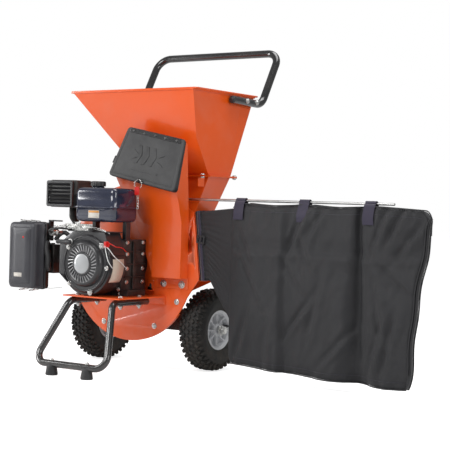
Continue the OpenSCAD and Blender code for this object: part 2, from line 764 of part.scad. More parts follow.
module fuel_tank() {
    s = tank_size;
    cap = tank_low + [s[0] * 0.28, s[1] * 0.5, s[2]];
    color([0.05, 0.06, 0.1]) {
        difference() {
            union() {
                translate(tank_low) rounded(s, 16);
                translate(tank_low + [-5, -5, s[2] * 0.42]) rounded([s[0] + 10, s[1] + 10, 4], 18);
                translate(cap) cylinder(r = 18, h = 5);
            }
            translate(tank_low + [3, 3, 3]) rounded(s - [6, 6, 6], 13);
            translate(cap - [0, 0, 8]) cylinder(r = 15, h = 20);
        }
        for (x = [tank_low[0] + 12, tank_low[0] + s[0] - 26])
            block([x, tank_low[1] + 74, crank_z + 77], [x + 14, tank_low[1] + s[1] - 20,
                tank_low[2] + 1]);
    }
}

// Block with rounded upright edges
module rounded(s, r) {
    linear_extrude(s[2]) {
        translate([r, 0]) square([s[0] - 2 * r, s[1]]);
        translate([0, r]) square([s[0], s[1] - 2 * r]);
        for (x = [r, s[0] - r]) for (y = [r, s[1] - r]) translate([x, y]) circle(r = r);
    }
}

cap_at = tank_low + [tank_size[0] * 0.28, tank_size[1] * 0.5, tank_size[2] + 5 + gap];
module fuel_cap() {
    color(black) difference() {
        translate(cap_at) cylinder(r = 24, h = 16);
        for (i = [0 : 11]) translate(cap_at) rotate(i * 30) translate([25, 0, -1]) cylinder(r = 3,
            h = 18);
    }
}

module muffler() {
    s = muffler_size;
    color([0.12, 0.12, 0.12]) {
        translate(muffler_low) difference() {
            rounded(s, 18);
            translate([3, 3, 3]) rounded(s - [6, 6, 6], 15);
            translate([s[0] - 20, s[1] - 4, 30]) rotate([-90, 0, 0]) cylinder(d = 22, h = 10);
        }
        translate(muffler_low + [66, 56, 0]) rotate([180, 0, 0]) cylinder(d = 26, h = 26);
    }
}

module muffler_guard() {
    s = muffler_size;
    color(black) difference() {
        translate(muffler_low + [4, -8, 2]) cube([s[0] - 8, 8 - gap, s[2] - 4]);
        for (i = [0 : 4]) translate(muffler_low + [14, -9, 16 + 13 * i]) cube([s[0] - 28, 10, 5]);
        translate(muffler_low + [8, -5.5, 6]) cube([s[0] - 16, 6, s[2] - 12]);
    }
}

module air_cleaner_base() {
    s = cleaner_size;
    lo = cleaner_low;
    color(black) difference() {
        block(lo + [0, s[1] - 22, 0], lo + s);
        block(lo + [4, s[1] - 23, 4], lo + s - [4, 4, 4]);
        rod_y(34, lo[1] + s[1] - 6, lo[1] + s[1] + 1, carb_low[0] + 26, carb_low[2] + 30);
    }
}

module air_cleaner_cover() {
    s = cleaner_size;
    lo = cleaner_low;
    color(black) {
        difference() {
            block(lo, lo + [s[0], s[1] - 22 - gap, s[2]]);
            block(lo + [4, 4, 4], lo + [s[0] - 4, s[1], s[2] - 4]);
        }
        block(lo + [18, -4, 26], lo + [s[0] - 10, 0.1, s[2] - 26]);
        for (z = [0 : 24 : s[2] - 20]) block(lo + [-4, 6, z + 8], lo + [0.1, 40, z + 14]);
    }
}

module air_filter() {
    s = cleaner_size;
    color("gray") block(cleaner_low + [6, s[1] - 40, 8], cleaner_low + s - [6, 6, 8]);
}

module carburettor() {
    color(steel) difference() {
        union() {
            block(carb_low + [0, gap, 0], carb_low + [52, 50, 58]);
            block(carb_low + [10, 10, -34], carb_low + [42, 42, 1]);
        }
        rod_y(26, carb_low[1] - 1, carb_low[1] + 52, carb_low[0] + 26, carb_low[2] + 30);
    }
}

module breather_hose() {
    color(black) swept([for (i = [0 : 6]) [-178 + 10 * i, carb_low[1] + 20 + 4 * i,
        crank_z + 66 + 26 * sin(i * 30)]], 7, 8);
}

plug_at = [-150, 150, crank_z + 92];
module spark_plug() {
    color(steel) translate(plug_at) rotate([90, 0, 0]) cylinder(d = 12, h = 20);
    color(black) translate(plug_at - [0, 20, 0]) rotate([90, 0, 0]) cylinder(d = 22, h = 26);
}

module ignition_lead() {
    color(black) swept([[-150, 102, crank_z + 92], [-148, 92, crank_z + 96], [-136, 86, crank_z + 102],
        [-118, 90, crank_z + 106], [-100, 98, crank_z + 106], [-84, 112, crank_z + 105], [-70, 126,
            crank_z + 104]], 3.5, 8);
}

throttle_at = [20, cowl_front + 46, crank_z + cowl_r + gap];
module throttle_lever() {
    color(black) {
        translate(throttle_at) cylinder(r = 9, h = 6);
        translate(throttle_at + [-3, -52, 0]) cube([6, 52, 4]);
        translate(throttle_at + [0, -52, 0]) cylinder(r = 8, h = 12);
    }
}

choke_at = carb_low + [26, 24, 58 + gap];
module choke_lever() {
    color("gray") {
        translate(choke_at) cylinder(r = 6, h = 4);
        translate(choke_at + [-44, -3, 0]) cube([44, 6, 3]);
        translate(choke_at + [-46, 0, 0]) cylinder(r = 6, h = 10);
    }
}

fuel_at = carb_low + [-gap, 30, 12];
module fuel_lever() {
    color("red") {
        translate(fuel_at) rotate([0, -90, 0]) cylinder(r = 7, h = 5);
        translate(fuel_at + [-5, -3, -26]) cube([4, 6, 26]);
    }
}

switch_at = [84, cowl_front - gap, crank_z + 62];
module engine_switch() {
    color("red") translate(switch_at) rotate([90, 0, 0]) cylinder(d = 20, h = 4);
    color("red") translate(switch_at + [-4, -12, -9]) cube([8, 9, 18]);
}

dip_at = [-72 - gap, cowl_back + 34, crank_z - 58];
module dipstick() {
    color("gold") translate(dip_at) rotate([0, -90, 0]) {
        cylinder(r = 12, h = 8);
        translate([-9, -2, 7.9]) cube([18, 4, 10]);
    }
}

module flywheel() {
    vanes = 14;
    y0 = cowl_front + 10;
    color("gray") difference() {
        union() {
            rod_y(2 * flywheel_r, y0 + 12, y0 + 34, 0, crank_z);
            for (i = [0 : vanes - 1]) translate([0, 0, crank_z]) rotate([0, i * 360 / vanes, 0])
                block([42, y0, -2], [flywheel_r - 2, y0 + 12.5, 2]);
        }
        rod_y(shaft_d + 0.1, y0 - 1, y0 + 40, 0, crank_z);
    }
}

key_w = 6;
module crankshaft() {
    end = disc_y + disc_t + 20;
    color(steel) {
        rod_y(shaft_d, cowl_front + 14, end, 0, crank_z);
        block([-key_w / 2, disc_y - 6, crank_z + shaft_d / 2 - 3], [key_w / 2, disc_y + disc_t + 10,
            crank_z + shaft_d / 2 + 3]);
        rod_y(44, end, end + 4, 0, crank_z);
        translate([0, end + 4, crank_z]) rotate([-90, 0, 0]) cylinder(d = 24, h = 10, $fn = 6);
    }
}

// ---- Rotor ----

pin_angles = [45, 135, 225, 315];
module rotor_disc() {
    hub_r = 38;
    color(steel) difference() {
        union() {
            rod_y(2 * disc_r, disc_y, disc_y + disc_t, 0, crank_z);
            rod_y(2 * hub_r, disc_y - 8, disc_y + disc_t + 20 - gap, 0, crank_z);
            for (a = pin_angles) {
                x = pin_ring_r * cos(a);
                z = crank_z + pin_ring_r * sin(a);
                rod_y(pin_d, disc_y + disc_t - 1, pin_end, x, z);
                rod_y(pin_d + 10, pin_end - 5, pin_end, x, z);
            }
        }
        rod_y(shaft_d + 0.1, disc_y - 20, disc_y + disc_t + 40, 0, crank_z);
        block([-key_w / 2 - 0.05, disc_y - 20, crank_z], [key_w / 2 + 0.05, disc_y + 60,
            crank_z + shaft_d / 2 + 3.05]);
        for (s = [-1, 1]) translate([0, 0, crank_z]) rotate([0, s * 90 - 90, 0])
            block([50, disc_y - 1, 12], [disc_r - 12, disc_y + disc_t + 1, 26]);
    }
}

module chipper_knives() {
    color("lightgray") for (s = [-1, 1]) translate([0, 0, crank_z]) rotate([0, s * 90 - 90, 0]) {
        block([50, disc_y - 8, -26], [disc_r - 10, disc_y - gap / 3, 10]);
        for (x = [68, disc_r - 30]) translate([x, disc_y - 12, -10]) rotate([-90, 0,
            0]) cylinder(d = 13, h = 5);
    }
}

// Swinging hammer, hanging straight down from its pin
module hammer(k) {
    x = pin_ring_r * cos(pin_angles[k]);
    z = crank_z + pin_ring_r * sin(pin_angles[k]);
    y0 = disc_y + disc_t + 2;
    y1 = pin_end - 7;
    color("dimgray") difference() {
        union() {
            rod_y(pin_d + 14, y0, y1, x, z);
            for (i = [0 : 2]) {
                y = y0 + 4 + i * (y1 - y0 - 16) / 2;
                block([x - 13, y, z - hammer_reach], [x + 13, y + 8, z]);
            }
        }
        rod_y(pin_d + 2 * run_clear, y0 - 1, y1 + 1, x, z);
    }
}
module hammer_1() { hammer(0); }
module hammer_2() { hammer(1); }
module hammer_3() { hammer(2); }
module hammer_4() { hammer(3); }

// ---- Collection bag ----

module bag_rod() {
    color(steel) {
        rod_x(rod_d, rod_x0, bag_x1 - 110, rod_y, rod_z);
        block([rod_x0, plate_back + 1, rod_z - 9], [rod_x0 + 26, rod_y + 8, rod_z + 9]);
    }
}

neck_h = outlet_h + 2 * bag_wall;
neck_w = collar_w + 4 + 2 * bag_wall;
neck_end = collar_len + 8;
// Ring of the bag's neck around the collar, in the outlet's own tilt
function neck_ring(u, grow) = [for (c = [[-1, -1], [1, -1], [1, 1], [-1, 1]])
    let (y = mid_y + c[0] * (neck_w / 2 + grow), v = c[1] * (neck_h / 2 + grow))
    [outlet_mid[0] + u * cos(outlet_tilt) - v * sin(outlet_tilt), y,
        outlet_mid[1] + u * sin(outlet_tilt) + v * cos(outlet_tilt)]];
function side_ring(x, z0, z1, grow) = [
    [x, bag_y0 - grow, z0 - grow], [x, bag_y1 + grow, z0 - grow], [x, bag_y1 + grow, z1 + grow], [x,
        bag_y0 - grow, z1 + grow]
];
module bag_outline(inset) {
    polygon([
        [bag_x0 + inset, bag_low + 24 + inset], [bag_x0 + bag_len * 0.35, bag_low + 10 + inset],
        [bag_x0 + bag_len * 0.62, bag_low + inset], [bag_x1 - 54 - inset, bag_low + 8 + inset],
        [bag_x1 - 46 - inset, bag_low + 80], [bag_x1 - 14 - inset, bag_low + 380],
        [bag_x1 - inset, bag_top - 30], [bag_x1 - 16 - inset, bag_top - inset],
        [bag_x0 + 60, bag_top - inset], [bag_x0 + inset, bag_top - 18 - inset]
    ]);
}

module bag() {
    w = bag_wall;
    color(black) difference() {
        union() {
            xz(bag_y0, bag_y1) bag_outline(0);
            loft(neck_ring(6, 0), neck_ring(neck_end, 0));
            loft(neck_ring(neck_end - eps, 0), side_ring(bag_x0 + 1, bag_low + 150, bag_top - 18, 0));
        }
        xz(bag_y0 + w, bag_y1 - w) bag_outline(w);
        loft(neck_ring(5, -w), neck_ring(neck_end, -w));
        loft(neck_ring(neck_end - 2 * eps, -w), side_ring(bag_x0 + w + 1, bag_low + 150, bag_top - 18,
            -w));
    }
}

strap_xs = [bag_x0 + 10, bag_x0 + bag_len * 0.36, bag_x0 + bag_len * 0.695];
module bag_straps() {
    w = 34;
    color([0.12, 0.1, 0.18]) for (x = strap_xs) difference() {
        block([x, rod_y - 7, bag_top + gap], [x + w, rod_y + 7, rod_z + 7]);
        block([x - 1, rod_y - 5, bag_top + 1.5 + gap], [x + w + 1, rod_y + 5, rod_z + 5.5]);
    }
}

place() housing_front_plate();
place() housing_rear_plate();
place() housing_scroll();
place() outlet_collar();
place() discharge_screen();
place() engine_platform();
place() lower_hopper();
place() upper_hopper();
place() hopper_bolts();
place() feed_chute();
place() chute_bolts();
place() chute_cover();
place() tag_ring();
place() red_tag();
place() handle_tube();
place() handle_bolts();
place() stand_tube();
place() stand_feet();
place() stand_bolts();
place() axle();
place() axle_beam();
place() axle_nuts();
place() tyre_left();
place() tyre_right();
place() rim_left();
place() rim_right();
place() crankcase();
place() engine_cylinder();
place() valve_cover();
place() fan_cover();
place() recoil_cover();
place() starter_grip();
place() starter_rope();
place() fuel_tank();
place() fuel_cap();
place() muffler();
place() muffler_guard();
place() air_cleaner_base();
place() air_cleaner_cover();
place() air_filter();
place() carburettor();
place() breather_hose();
place() spark_plug();
place() ignition_lead();
place() throttle_lever();
place() choke_lever();
place() fuel_lever();
place() engine_switch();
place() dipstick();
place() flywheel();
place() crankshaft();
place() rotor_disc();
place() chipper_knives();
place() hammer_1();
place() hammer_2();
place() hammer_3();
place() hammer_4();
place() bag_rod();
place() bag();
place() bag_straps();
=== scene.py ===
"""Petrol wood chipper with hopper, side chute and hanging bag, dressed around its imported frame."""
import json
import logging
import math
from dataclasses import dataclass, field
from enum import Enum
from typing import Any, Callable, Iterable, Optional, Sequence, Union

import bmesh
import bpy
from mathutils import Matrix, Vector, noise

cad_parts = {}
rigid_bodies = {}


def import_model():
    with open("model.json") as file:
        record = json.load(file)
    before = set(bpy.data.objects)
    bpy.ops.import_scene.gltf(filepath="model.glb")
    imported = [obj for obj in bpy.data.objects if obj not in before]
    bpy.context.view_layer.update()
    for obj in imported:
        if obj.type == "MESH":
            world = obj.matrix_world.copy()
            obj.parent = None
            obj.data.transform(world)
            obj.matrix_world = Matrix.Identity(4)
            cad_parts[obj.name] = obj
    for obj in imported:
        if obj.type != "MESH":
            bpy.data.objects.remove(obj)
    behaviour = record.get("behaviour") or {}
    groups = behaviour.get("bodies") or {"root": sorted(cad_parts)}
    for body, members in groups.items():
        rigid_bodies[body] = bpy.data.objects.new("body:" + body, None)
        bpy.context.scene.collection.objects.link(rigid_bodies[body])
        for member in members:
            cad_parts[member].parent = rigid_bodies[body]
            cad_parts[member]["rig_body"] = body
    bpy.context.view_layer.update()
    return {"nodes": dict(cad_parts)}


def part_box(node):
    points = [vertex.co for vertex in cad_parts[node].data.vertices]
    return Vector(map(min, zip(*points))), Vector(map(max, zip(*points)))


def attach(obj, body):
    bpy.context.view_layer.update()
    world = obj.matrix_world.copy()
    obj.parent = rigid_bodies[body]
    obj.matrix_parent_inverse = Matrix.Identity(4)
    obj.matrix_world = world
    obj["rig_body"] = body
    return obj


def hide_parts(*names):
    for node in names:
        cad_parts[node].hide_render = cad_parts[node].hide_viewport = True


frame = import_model()
LOG = logging.getLogger("chipper")
MM = 0.001
Shape = tuple[list[Vector], list[list[int]]]
Colour = tuple[float, float, float]


# ---- The machine's own frame: millimetres from the crankshaft's line, the stand feet's line and the floor ----

def machine_origin() -> Vector:
    """Where the machine frame's zero stands in the row frame.

    Returns:
        The point under the crankshaft and between the stand feet, in metres.
    """
    shaft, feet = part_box("crankshaft"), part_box("stand_feet")
    return Vector(((shaft[0][0] + shaft[1][0]) / 2, (feet[0][1] + feet[1][1]) / 2, 0.0))


ORIGIN = machine_origin()


def at(x: float, y: float, z: float) -> Vector:
    """A point of the machine frame, in millimetres, as a point of the row frame in metres."""
    return ORIGIN + Vector((x, y, z)) * MM


def node_box(node: str) -> tuple[Vector, Vector]:
    """The corners of a CAD node in the machine frame.

    Args:
        node: Name of the CAD node.

    Returns:
        Its lowest and highest corner, in millimetres.
    """
    low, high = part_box(node)
    return (Vector(low) - ORIGIN) / MM, (Vector(high) - ORIGIN) / MM


def body_of(node: str) -> str:
    """The body that a CAD node rides on."""
    return frame["nodes"][node]["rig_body"]


# ---- Shader expressions ----

class Wire:
    """A shader socket that takes part in Python arithmetic on values."""

    def __init__(self, graph: "Graph", socket: Any) -> None:
        """Wraps an output socket of a graph's tree."""
        self.graph = graph
        self.socket = socket

    def _math(self, operation: str, first: Any, second: Any = 0.0, clamp: bool = False) -> "Wire":
        """Adds one Math node and returns its result."""
        return self.graph.node("ShaderNodeMath", {"operation": operation, "use_clamp": clamp},
                               {0: first, 1: second})

    def __add__(self, other: Any) -> "Wire":
        """self + other."""
        return self._math("ADD", self, other)

    __radd__ = __add__

    def __sub__(self, other: Any) -> "Wire":
        """self - other."""
        return self._math("SUBTRACT", self, other)

    def __rsub__(self, other: Any) -> "Wire":
        """other - self."""
        return self._math("SUBTRACT", other, self)

    def __mul__(self, other: Any) -> "Wire":
        """self * other."""
        return self._math("MULTIPLY", self, other)

    __rmul__ = __mul__

    def __truediv__(self, other: Any) -> "Wire":
        """self / other."""
        return self._math("DIVIDE", self, other)

    def __pow__(self, other: Any) -> "Wire":
        """self ** other."""
        return self._math("POWER", self, other)

    def sine(self) -> "Wire":
        """Sine of the value."""
        return self._math("SINE", self)

    def size(self) -> "Wire":
        """Absolute value."""
        return self._math("ABSOLUTE", self)

    def above(self, limit: float, soft: float) -> "Wire":
        """A mask that rises from 0 to 1 around a limit.

        Args:
            limit: The value where the mask reaches one half.
            soft: Width of the rise.

        Returns:
            The mask.
        """
        return self._math("ADD", (self - limit) / soft, 0.5, clamp=True)


class Graph:
    """The node tree of one material."""

    def __init__(self, name: str) -> None:
        """Starts a material with a Principled shader."""
        self.material = bpy.data.materials.new(name)
        self.material.use_nodes = True
        self.tree = self.material.node_tree
        self.shader = next(n for n in self.tree.nodes if n.type == "BSDF_PRINCIPLED")

    def node(self, kind: str, settings: Optional[dict] = None, sockets: Optional[dict] = None,
             output: Union[int, str] = 0) -> Wire:
        """Adds a node.

        Args:
            kind: The node's type.
            settings: Properties set before its sockets.
            sockets: Values or wires for its inputs.
            output: Which output to return.

        Returns:
            The chosen output.
        """
        made = self.tree.nodes.new(kind)
        for key, value in (settings or {}).items():
            setattr(made, key, value)
        for key, value in (sockets or {}).items():
            if isinstance(value, Wire):
                self.tree.links.new(value.socket, made.inputs[key])
            else:
                made.inputs[key].default_value = value
        return Wire(self, made.outputs[output])

    def place(self, stretch: Sequence[float] = (1, 1, 1), uv: bool = False) -> Wire:
        """Object or UV coordinates, stretched by a Mapping node."""
        source = self.node("ShaderNodeTexCoord", output="UV" if uv else "Object")
        return self.node("ShaderNodeMapping", {}, {"Vector": source, "Scale": stretch})

    def noise(self, scale: float, detail: float = 3.0, rough: float = 0.5,
              stretch: Sequence[float] = (1, 1, 1), uv: bool = False) -> Wire:
        """Noise between 0 and 1."""
        return self.node("ShaderNodeTexNoise", {}, {"Vector": self.place(stretch, uv), "Scale": scale,
                                                    "Detail": detail, "Roughness": rough})

    def mix(self, factor: Any, first: Any, second: Any) -> Wire:
        """Mixes two colours by a factor.

        Args:
            factor: Number or wire, 0 for the first colour.
            first: Colour or wire.
            second: Colour or wire.

        Returns:
            The mixed colour.
        """
        first, second = (c if isinstance(c, Wire) else (*c, 1.0) for c in (first, second))
        made = self.tree.nodes.new("ShaderNodeMix")
        made.data_type = "RGBA"
        for socket, value in zip((made.inputs[0], made.inputs[6], made.inputs[7]), (factor, first, second)):
            if isinstance(value, Wire):
                self.tree.links.new(value.socket, socket)
            else:
                socket.default_value = value
        return Wire(self, made.outputs[2])

    def axis(self, which: str) -> Wire:
        """One Object coordinate in metres, as a value."""
        split = self.node("ShaderNodeSeparateXYZ", {}, {0: self.node("ShaderNodeTexCoord", output="Object")},
                          output=which)
        return split

    def bump(self, height: Wire, distance: float, strength: float = 1.0) -> None:
        """Bumps the surface by a height.

        Args:
            height: Height between 0 and 1.
            distance: What a height of 1 is, in metres.
            strength: How much of it is used.
        """
        normal = self.node("ShaderNodeBump", {}, {"Height": height, "Distance": distance,
                                                  "Strength": strength}, output="Normal")
        self.feed("Normal", normal)

    def feed(self, socket: str, value: Any) -> None:
        """Sets or links a socket of the shader."""
        if isinstance(value, Wire):
            self.tree.links.new(value.socket, self.shader.inputs[socket])
        elif isinstance(value, tuple):
            self.shader.inputs[socket].default_value = (*value, 1.0)
        else:
            self.shader.inputs[socket].default_value = value


@dataclass(frozen=True)
class Finish:
    """A finish that one or more pieces share."""

    name: str
    colour: Colour
    slot: str
    roughness: float = 0.4

    def shade(self, g: Graph) -> None:
        """Builds the finish's nodes.

        Args:
            g: The material's tree.
        """
        g.feed("Base Color", g.mix(g.noise(6.0), self.colour, tuple(c * 0.9 for c in self.colour)))
        g.feed("Roughness", g.noise(40.0) * 0.1 + self.roughness)

    def material(self) -> bpy.types.Material:
        """The finish's material, made once.

        Returns:
            The material.
        """
        found = bpy.data.materials.get("finish_" + self.name)
        if found is None:
            g = Graph("finish_" + self.name)
            self.shade(g)
            found = g.material
        return found


@dataclass(frozen=True)
class PowderCoat(Finish):
    """Baked powder coat: clear gloss over colour, with orange peel and a little handling dust."""

    coat: float = 0.6
    peel: float = 0.00003
    dust: Colour = (0.55, 0.5, 0.44)
    dusty: float = 0.06

    def shade(self, g: Graph) -> None:
        """Builds the coat."""
        tone = g.noise(3.5, 4.0)
        deep = tuple(c * 0.86 for c in self.colour)
        low = 1.0 - g.axis("Z").above(0.16, 0.3)
        dust = (g.noise(22.0, 6.0, 0.6).above(0.5, 0.35) * low * self.dusty * 2.0
                + g.noise(9.0, 5.0, 0.65).above(0.62, 0.3) * self.dusty)
        g.feed("Base Color", g.mix(dust, g.mix(tone, self.colour, deep), self.dust))
        g.feed("Roughness", g.noise(14.0, 5.0, 0.6) * 0.12 + (self.roughness - 0.06) + dust * 0.6)
        g.feed("Coat Weight", self.coat)
        g.feed("Coat Roughness", 0.06)
        g.bump(g.noise(750.0, 2.0), self.peel)


@dataclass(frozen=True)
class Enamel(Finish):
    """Sprayed enamel on sheet or castings, satin or glossy."""

    coat: float = 0.3
    grain: float = 0.00003

    def shade(self, g: Graph) -> None:
        """Builds the enamel."""
        smear = g.noise(11.0, 6.0, 0.65, (1, 1, 2.5))
        pale = tuple(min(1.0, c * 1.5 + 0.008) for c in self.colour)
        g.feed("Base Color", g.mix(smear.above(0.56, 0.3), self.colour, pale))
        g.feed("Roughness", smear * 0.16 + (self.roughness - 0.08))
        g.feed("Coat Weight", self.coat)
        g.feed("Coat Roughness", 0.12)
        g.bump(g.noise(1100.0, 3.0), self.grain)


@dataclass(frozen=True)
class Plating(Finish):
    """Bright zinc or nickel plating with a faint brushed grain."""

    brush: tuple[float, float, float] = (1, 1, 1)

    def shade(self, g: Graph) -> None:
        """Builds the plating."""
        g.feed("Metallic", 1.0)
        stain = g.noise(60.0, 5.0, 0.6)
        g.feed("Base Color", g.mix(stain.above(0.55, 0.4), self.colour, tuple(c * 0.72 for c in self.colour)))
        g.feed("Roughness", g.noise(220.0, 4.0, 0.6, self.brush) * 0.2 + (self.roughness - 0.1))
        g.bump(g.noise(1500.0, 2.0, 0.5, self.brush), 0.00002)


@dataclass(frozen=True)
class GroundSteel(Finish):
    """Steel ground in one direction, with heat tint near its edges."""

    def shade(self, g: Graph) -> None:
        """Builds the ground steel."""
        lines = g.noise(160.0, 6.0, 0.7, (1, 14, 1))
        g.feed("Metallic", 1.0)
        tint = g.mix(g.noise(18.0, 3.0).above(0.6, 0.3), self.colour, (0.36, 0.29, 0.22))
        g.feed("Base Color", g.mix(lines * 0.5, tint, (0.2, 0.2, 0.21)))
        g.feed("Roughness", lines * 0.3 + (self.roughness - 0.12))
        g.bump(lines, 0.00005)


@dataclass(frozen=True)
class CastAluminium(Finish):
    """Die-cast aluminium with a fine blasted grain and oily shade in its hollows."""

    def shade(self, g: Graph) -> None:
        """Builds the casting."""
        grain = g.noise(900.0, 4.0, 0.7)
        film = g.noise(24.0, 5.0, 0.65).above(0.56, 0.34)
        g.feed("Metallic", 0.85)
        g.feed("Base Color", g.mix(film * 0.6, self.colour, (0.16, 0.15, 0.14)))
        g.feed("Roughness", grain * 0.2 + (self.roughness - 0.1) + film * 0.12)
        g.bump(grain + g.noise(120.0, 2.0) * 0.6, 0.00012)


@dataclass(frozen=True)
class Moulded(Finish):
    """Moulded plastic or rubber with a spark-eroded grain."""

    grain: float = 0.00006
    grain_size: float = 900.0
    chalk: float = 0.12

    def shade(self, g: Graph) -> None:
        """Builds the moulded surface."""
        grain = g.node("ShaderNodeTexVoronoi", {"feature": "F1"},
            {"Vector": g.place(), "Scale": self.grain_size},
                       output="Distance")
        bloom = g.noise(16.0, 6.0, 0.66).above(0.55, 0.35)
        pale = tuple(min(1.0, c + 0.06) for c in self.colour)
        g.feed("Base Color", g.mix(bloom * self.chalk * 4.0, self.colour, pale))
        g.feed("Roughness", bloom * 0.1 + g.noise(60.0) * 0.08 + (self.roughness - 0.05))
        g.bump(grain, self.grain)


@dataclass(frozen=True)
class TyreRubber(Finish):
    """Tyre compound: matt, browner and dusty where it meets the ground."""

    def shade(self, g: Graph) -> None:
        """Builds the tyre surface."""
        low = 1.0 - g.axis("Z").above(0.05, 0.16)
        dirt = g.noise(38.0, 7.0, 0.7).above(0.52, 0.3) * (low * 0.3 + 0.12)
        g.feed("Base Color", g.mix(dirt, self.colour, (0.16, 0.13, 0.1)))
        g.feed("Roughness", dirt * 0.4 + g.noise(120.0, 4.0) * 0.15 + (self.roughness - 0.1))
        g.bump(g.noise(700.0, 4.0, 0.65), 0.00008)


@dataclass(frozen=True)
class Woven(Finish):
    """Plain-woven nylon, from the cloth's own UV map in metres."""

    pitch: float = 0.0011
    sheen: float = 0.08

    def shade(self, g: Graph) -> None:
        """Builds the weave."""
        turns = 2 * math.pi / self.pitch
        uv = g.node("ShaderNodeTexCoord", output="UV")
        u = g.node("ShaderNodeSeparateXYZ", {}, {0: uv}, output="X")
        v = g.node("ShaderNodeSeparateXYZ", {}, {0: uv}, output="Y")
        warp, weft = (u * turns).sine(), (v * turns).sine()
        weave = (warp * weft) * 0.5 + 0.5
        fade = g.noise(7.0, 5.0, 0.6)
        pale = tuple(c * 1.5 + 0.006 for c in self.colour)
        g.feed("Base Color", g.mix(fade * 0.7 + weave * 0.25, self.colour, pale))
        g.feed("Roughness", weave * 0.12 + fade * 0.16 + (self.roughness - 0.12))
        g.feed("Sheen Weight", self.sheen)
        g.feed("Sheen Roughness", 0.4)
        g.bump(weave + g.noise(55.0, 4.0, 0.6) * 2.0, 0.00025)


@dataclass(frozen=True)
class OpenFoam(Finish):
    """Reticulated filter foam, its open pores painted dark as shade."""

    def shade(self, g: Graph) -> None:
        """Builds the foam."""
        cells = g.node("ShaderNodeTexVoronoi", {"feature": "DISTANCE_TO_EDGE"},
                       {"Vector": g.place(), "Scale": 420.0}, output="Distance")
        shaded_pores = cells.above(0.12, 0.1)
        # Pores darkened to 15 per cent of the foam's colour: painted shade inside the open cells.
        g.feed("Base Color", g.mix(shaded_pores, self.colour, tuple(c * 0.15 for c in self.colour)))
        g.feed("Roughness", shaded_pores * 0.1 + self.roughness)
        g.bump(1.0 - shaded_pores, 0.0006)


ORANGE = PowderCoat("orange_coat", (0.84, 0.1, 0.004), "orange_paint", 0.33, coat=0.4)
GLOSS_BLACK = PowderCoat("gloss_black_coat", (0.012, 0.012, 0.013), "black_paint", 0.24, coat=0.8, dusty=0.03)
SATIN_BLACK = Enamel("satin_black_enamel", (0.016, 0.016, 0.018), "engine_black", 0.38)
HOT_BLACK = Enamel("silencer_enamel", (0.02, 0.019, 0.018), "engine_black", 0.55, coat=0.05, grain=0.00008)
NAVY = Enamel("navy_tank_enamel", (0.011, 0.015, 0.035), "tank_blue", 0.2, coat=0.9)
ZINC = Plating("bright_zinc", (0.74, 0.74, 0.72), "zinc_steel", 0.28)
BRUSHED_ROD = Plating("drawn_rod", (0.66, 0.66, 0.65), "zinc_steel", 0.3, brush=(0.03, 1, 1))
STEEL = GroundSteel("ground_steel", (0.52, 0.52, 0.53), "rotor_steel", 0.34)
CASTING = CastAluminium("cast_aluminium", (0.56, 0.57, 0.58), "cast_metal", 0.42)
DARK_CASTING = CastAluminium("dark_casting", (0.05, 0.043, 0.042), "cast_metal", 0.46)
RUBBER = Moulded("rubber", (0.014, 0.014, 0.015), "rubber", 0.5, grain=0.0001, grain_size=420.0)
TYRE = TyreRubber("tyre_rubber", (0.012, 0.012, 0.012), "tyre", 0.72)
RIM_SILVER = Moulded("rim_silver", (0.62, 0.63, 0.65), "rim_silver", 0.34, chalk=0.03)
BLACK_PLASTIC = Moulded("black_plastic", (0.016, 0.016, 0.018), "black_plastic", 0.42)
RED_PLASTIC = Moulded("red_plastic", (0.6, 0.014, 0.01), "red_plastic", 0.3, chalk=0.02)
YELLOW_PLASTIC = Moulded("yellow_plastic", (0.8, 0.46, 0.03), "yellow_plastic", 0.32, chalk=0.02)
PALE_PLASTIC = Moulded("pale_plastic", (0.72, 0.73, 0.72), "rim_silver", 0.4, chalk=0.02)
NYLON = Woven("woven_nylon", (0.009, 0.009, 0.011), "nylon", 0.58)
TAPE = Woven("hook_tape", (0.016, 0.012, 0.03), "nylon", 0.7, pitch=0.0018, sheen=0.5)
CORD = Woven("braided_cord", (0.3, 0.3, 0.31), "nylon", 0.7, pitch=0.0016)
FOAM = OpenFoam("filter_foam", (0.2, 0.2, 0.2), "foam", 0.9)
GREY_PLASTIC = Moulded("cleaner_plastic", (0.035, 0.035, 0.042), "black_plastic", 0.4, chalk=0.04)
LOUVRE_SILVER = Enamel("louvre_enamel", (0.22, 0.22, 0.225), "engine_black", 0.28, coat=0.6)


@dataclass(frozen=True)
class Printed(Finish):
    """A printed sticker: a plain ground with a thin border and fine blank bands in place of print."""

    band: Colour = (0.4, 0.38, 0.34)
    pitch: float = 0.0045

    def shade(self, g: Graph) -> None:
        """Builds the sticker."""
        rows = (g.axis("Z") * (2 * math.pi / self.pitch)).sine().above(0.55, 0.3)
        broken = g.noise(420.0, 2.0, 0.5, (1, 1, 0.2)).above(0.5, 0.12)
        g.feed("Base Color", g.mix(rows * broken * 0.55, g.mix(g.noise(30.0), self.colour,
                                                               tuple(c * 0.88 for c in self.colour)),
                                                                   self.band))
        g.feed("Roughness", g.noise(90.0) * 0.1 + self.roughness)


@dataclass(frozen=True)
class Roundel(Finish):
    """A plain round badge of satin silver that carries no mark."""

    def shade(self, g: Graph) -> None:
        """Builds the badge."""
        g.feed("Base Color", g.mix(g.noise(40.0), self.colour, tuple(c * 0.85 for c in self.colour)))
        g.feed("Roughness", g.noise(70.0) * 0.1 + self.roughness)
        g.feed("Metallic", 0.5)
        g.feed("Coat Weight", 0.6)


TAN_LABEL = Printed("tan_label", (0.62, 0.5, 0.4), "yellow_plastic", 0.5)
PALE_LABEL = Printed("pale_label", (0.66, 0.62, 0.56), "rim_silver", 0.45)
AMBER_LABEL = Printed("amber_label", (0.75, 0.32, 0.06), "yellow_plastic", 0.45)
BADGE = Roundel("roundel", (0.42, 0.43, 0.44), "rim_silver", 0.34)


# ---- Shapes, as vertices and faces ----

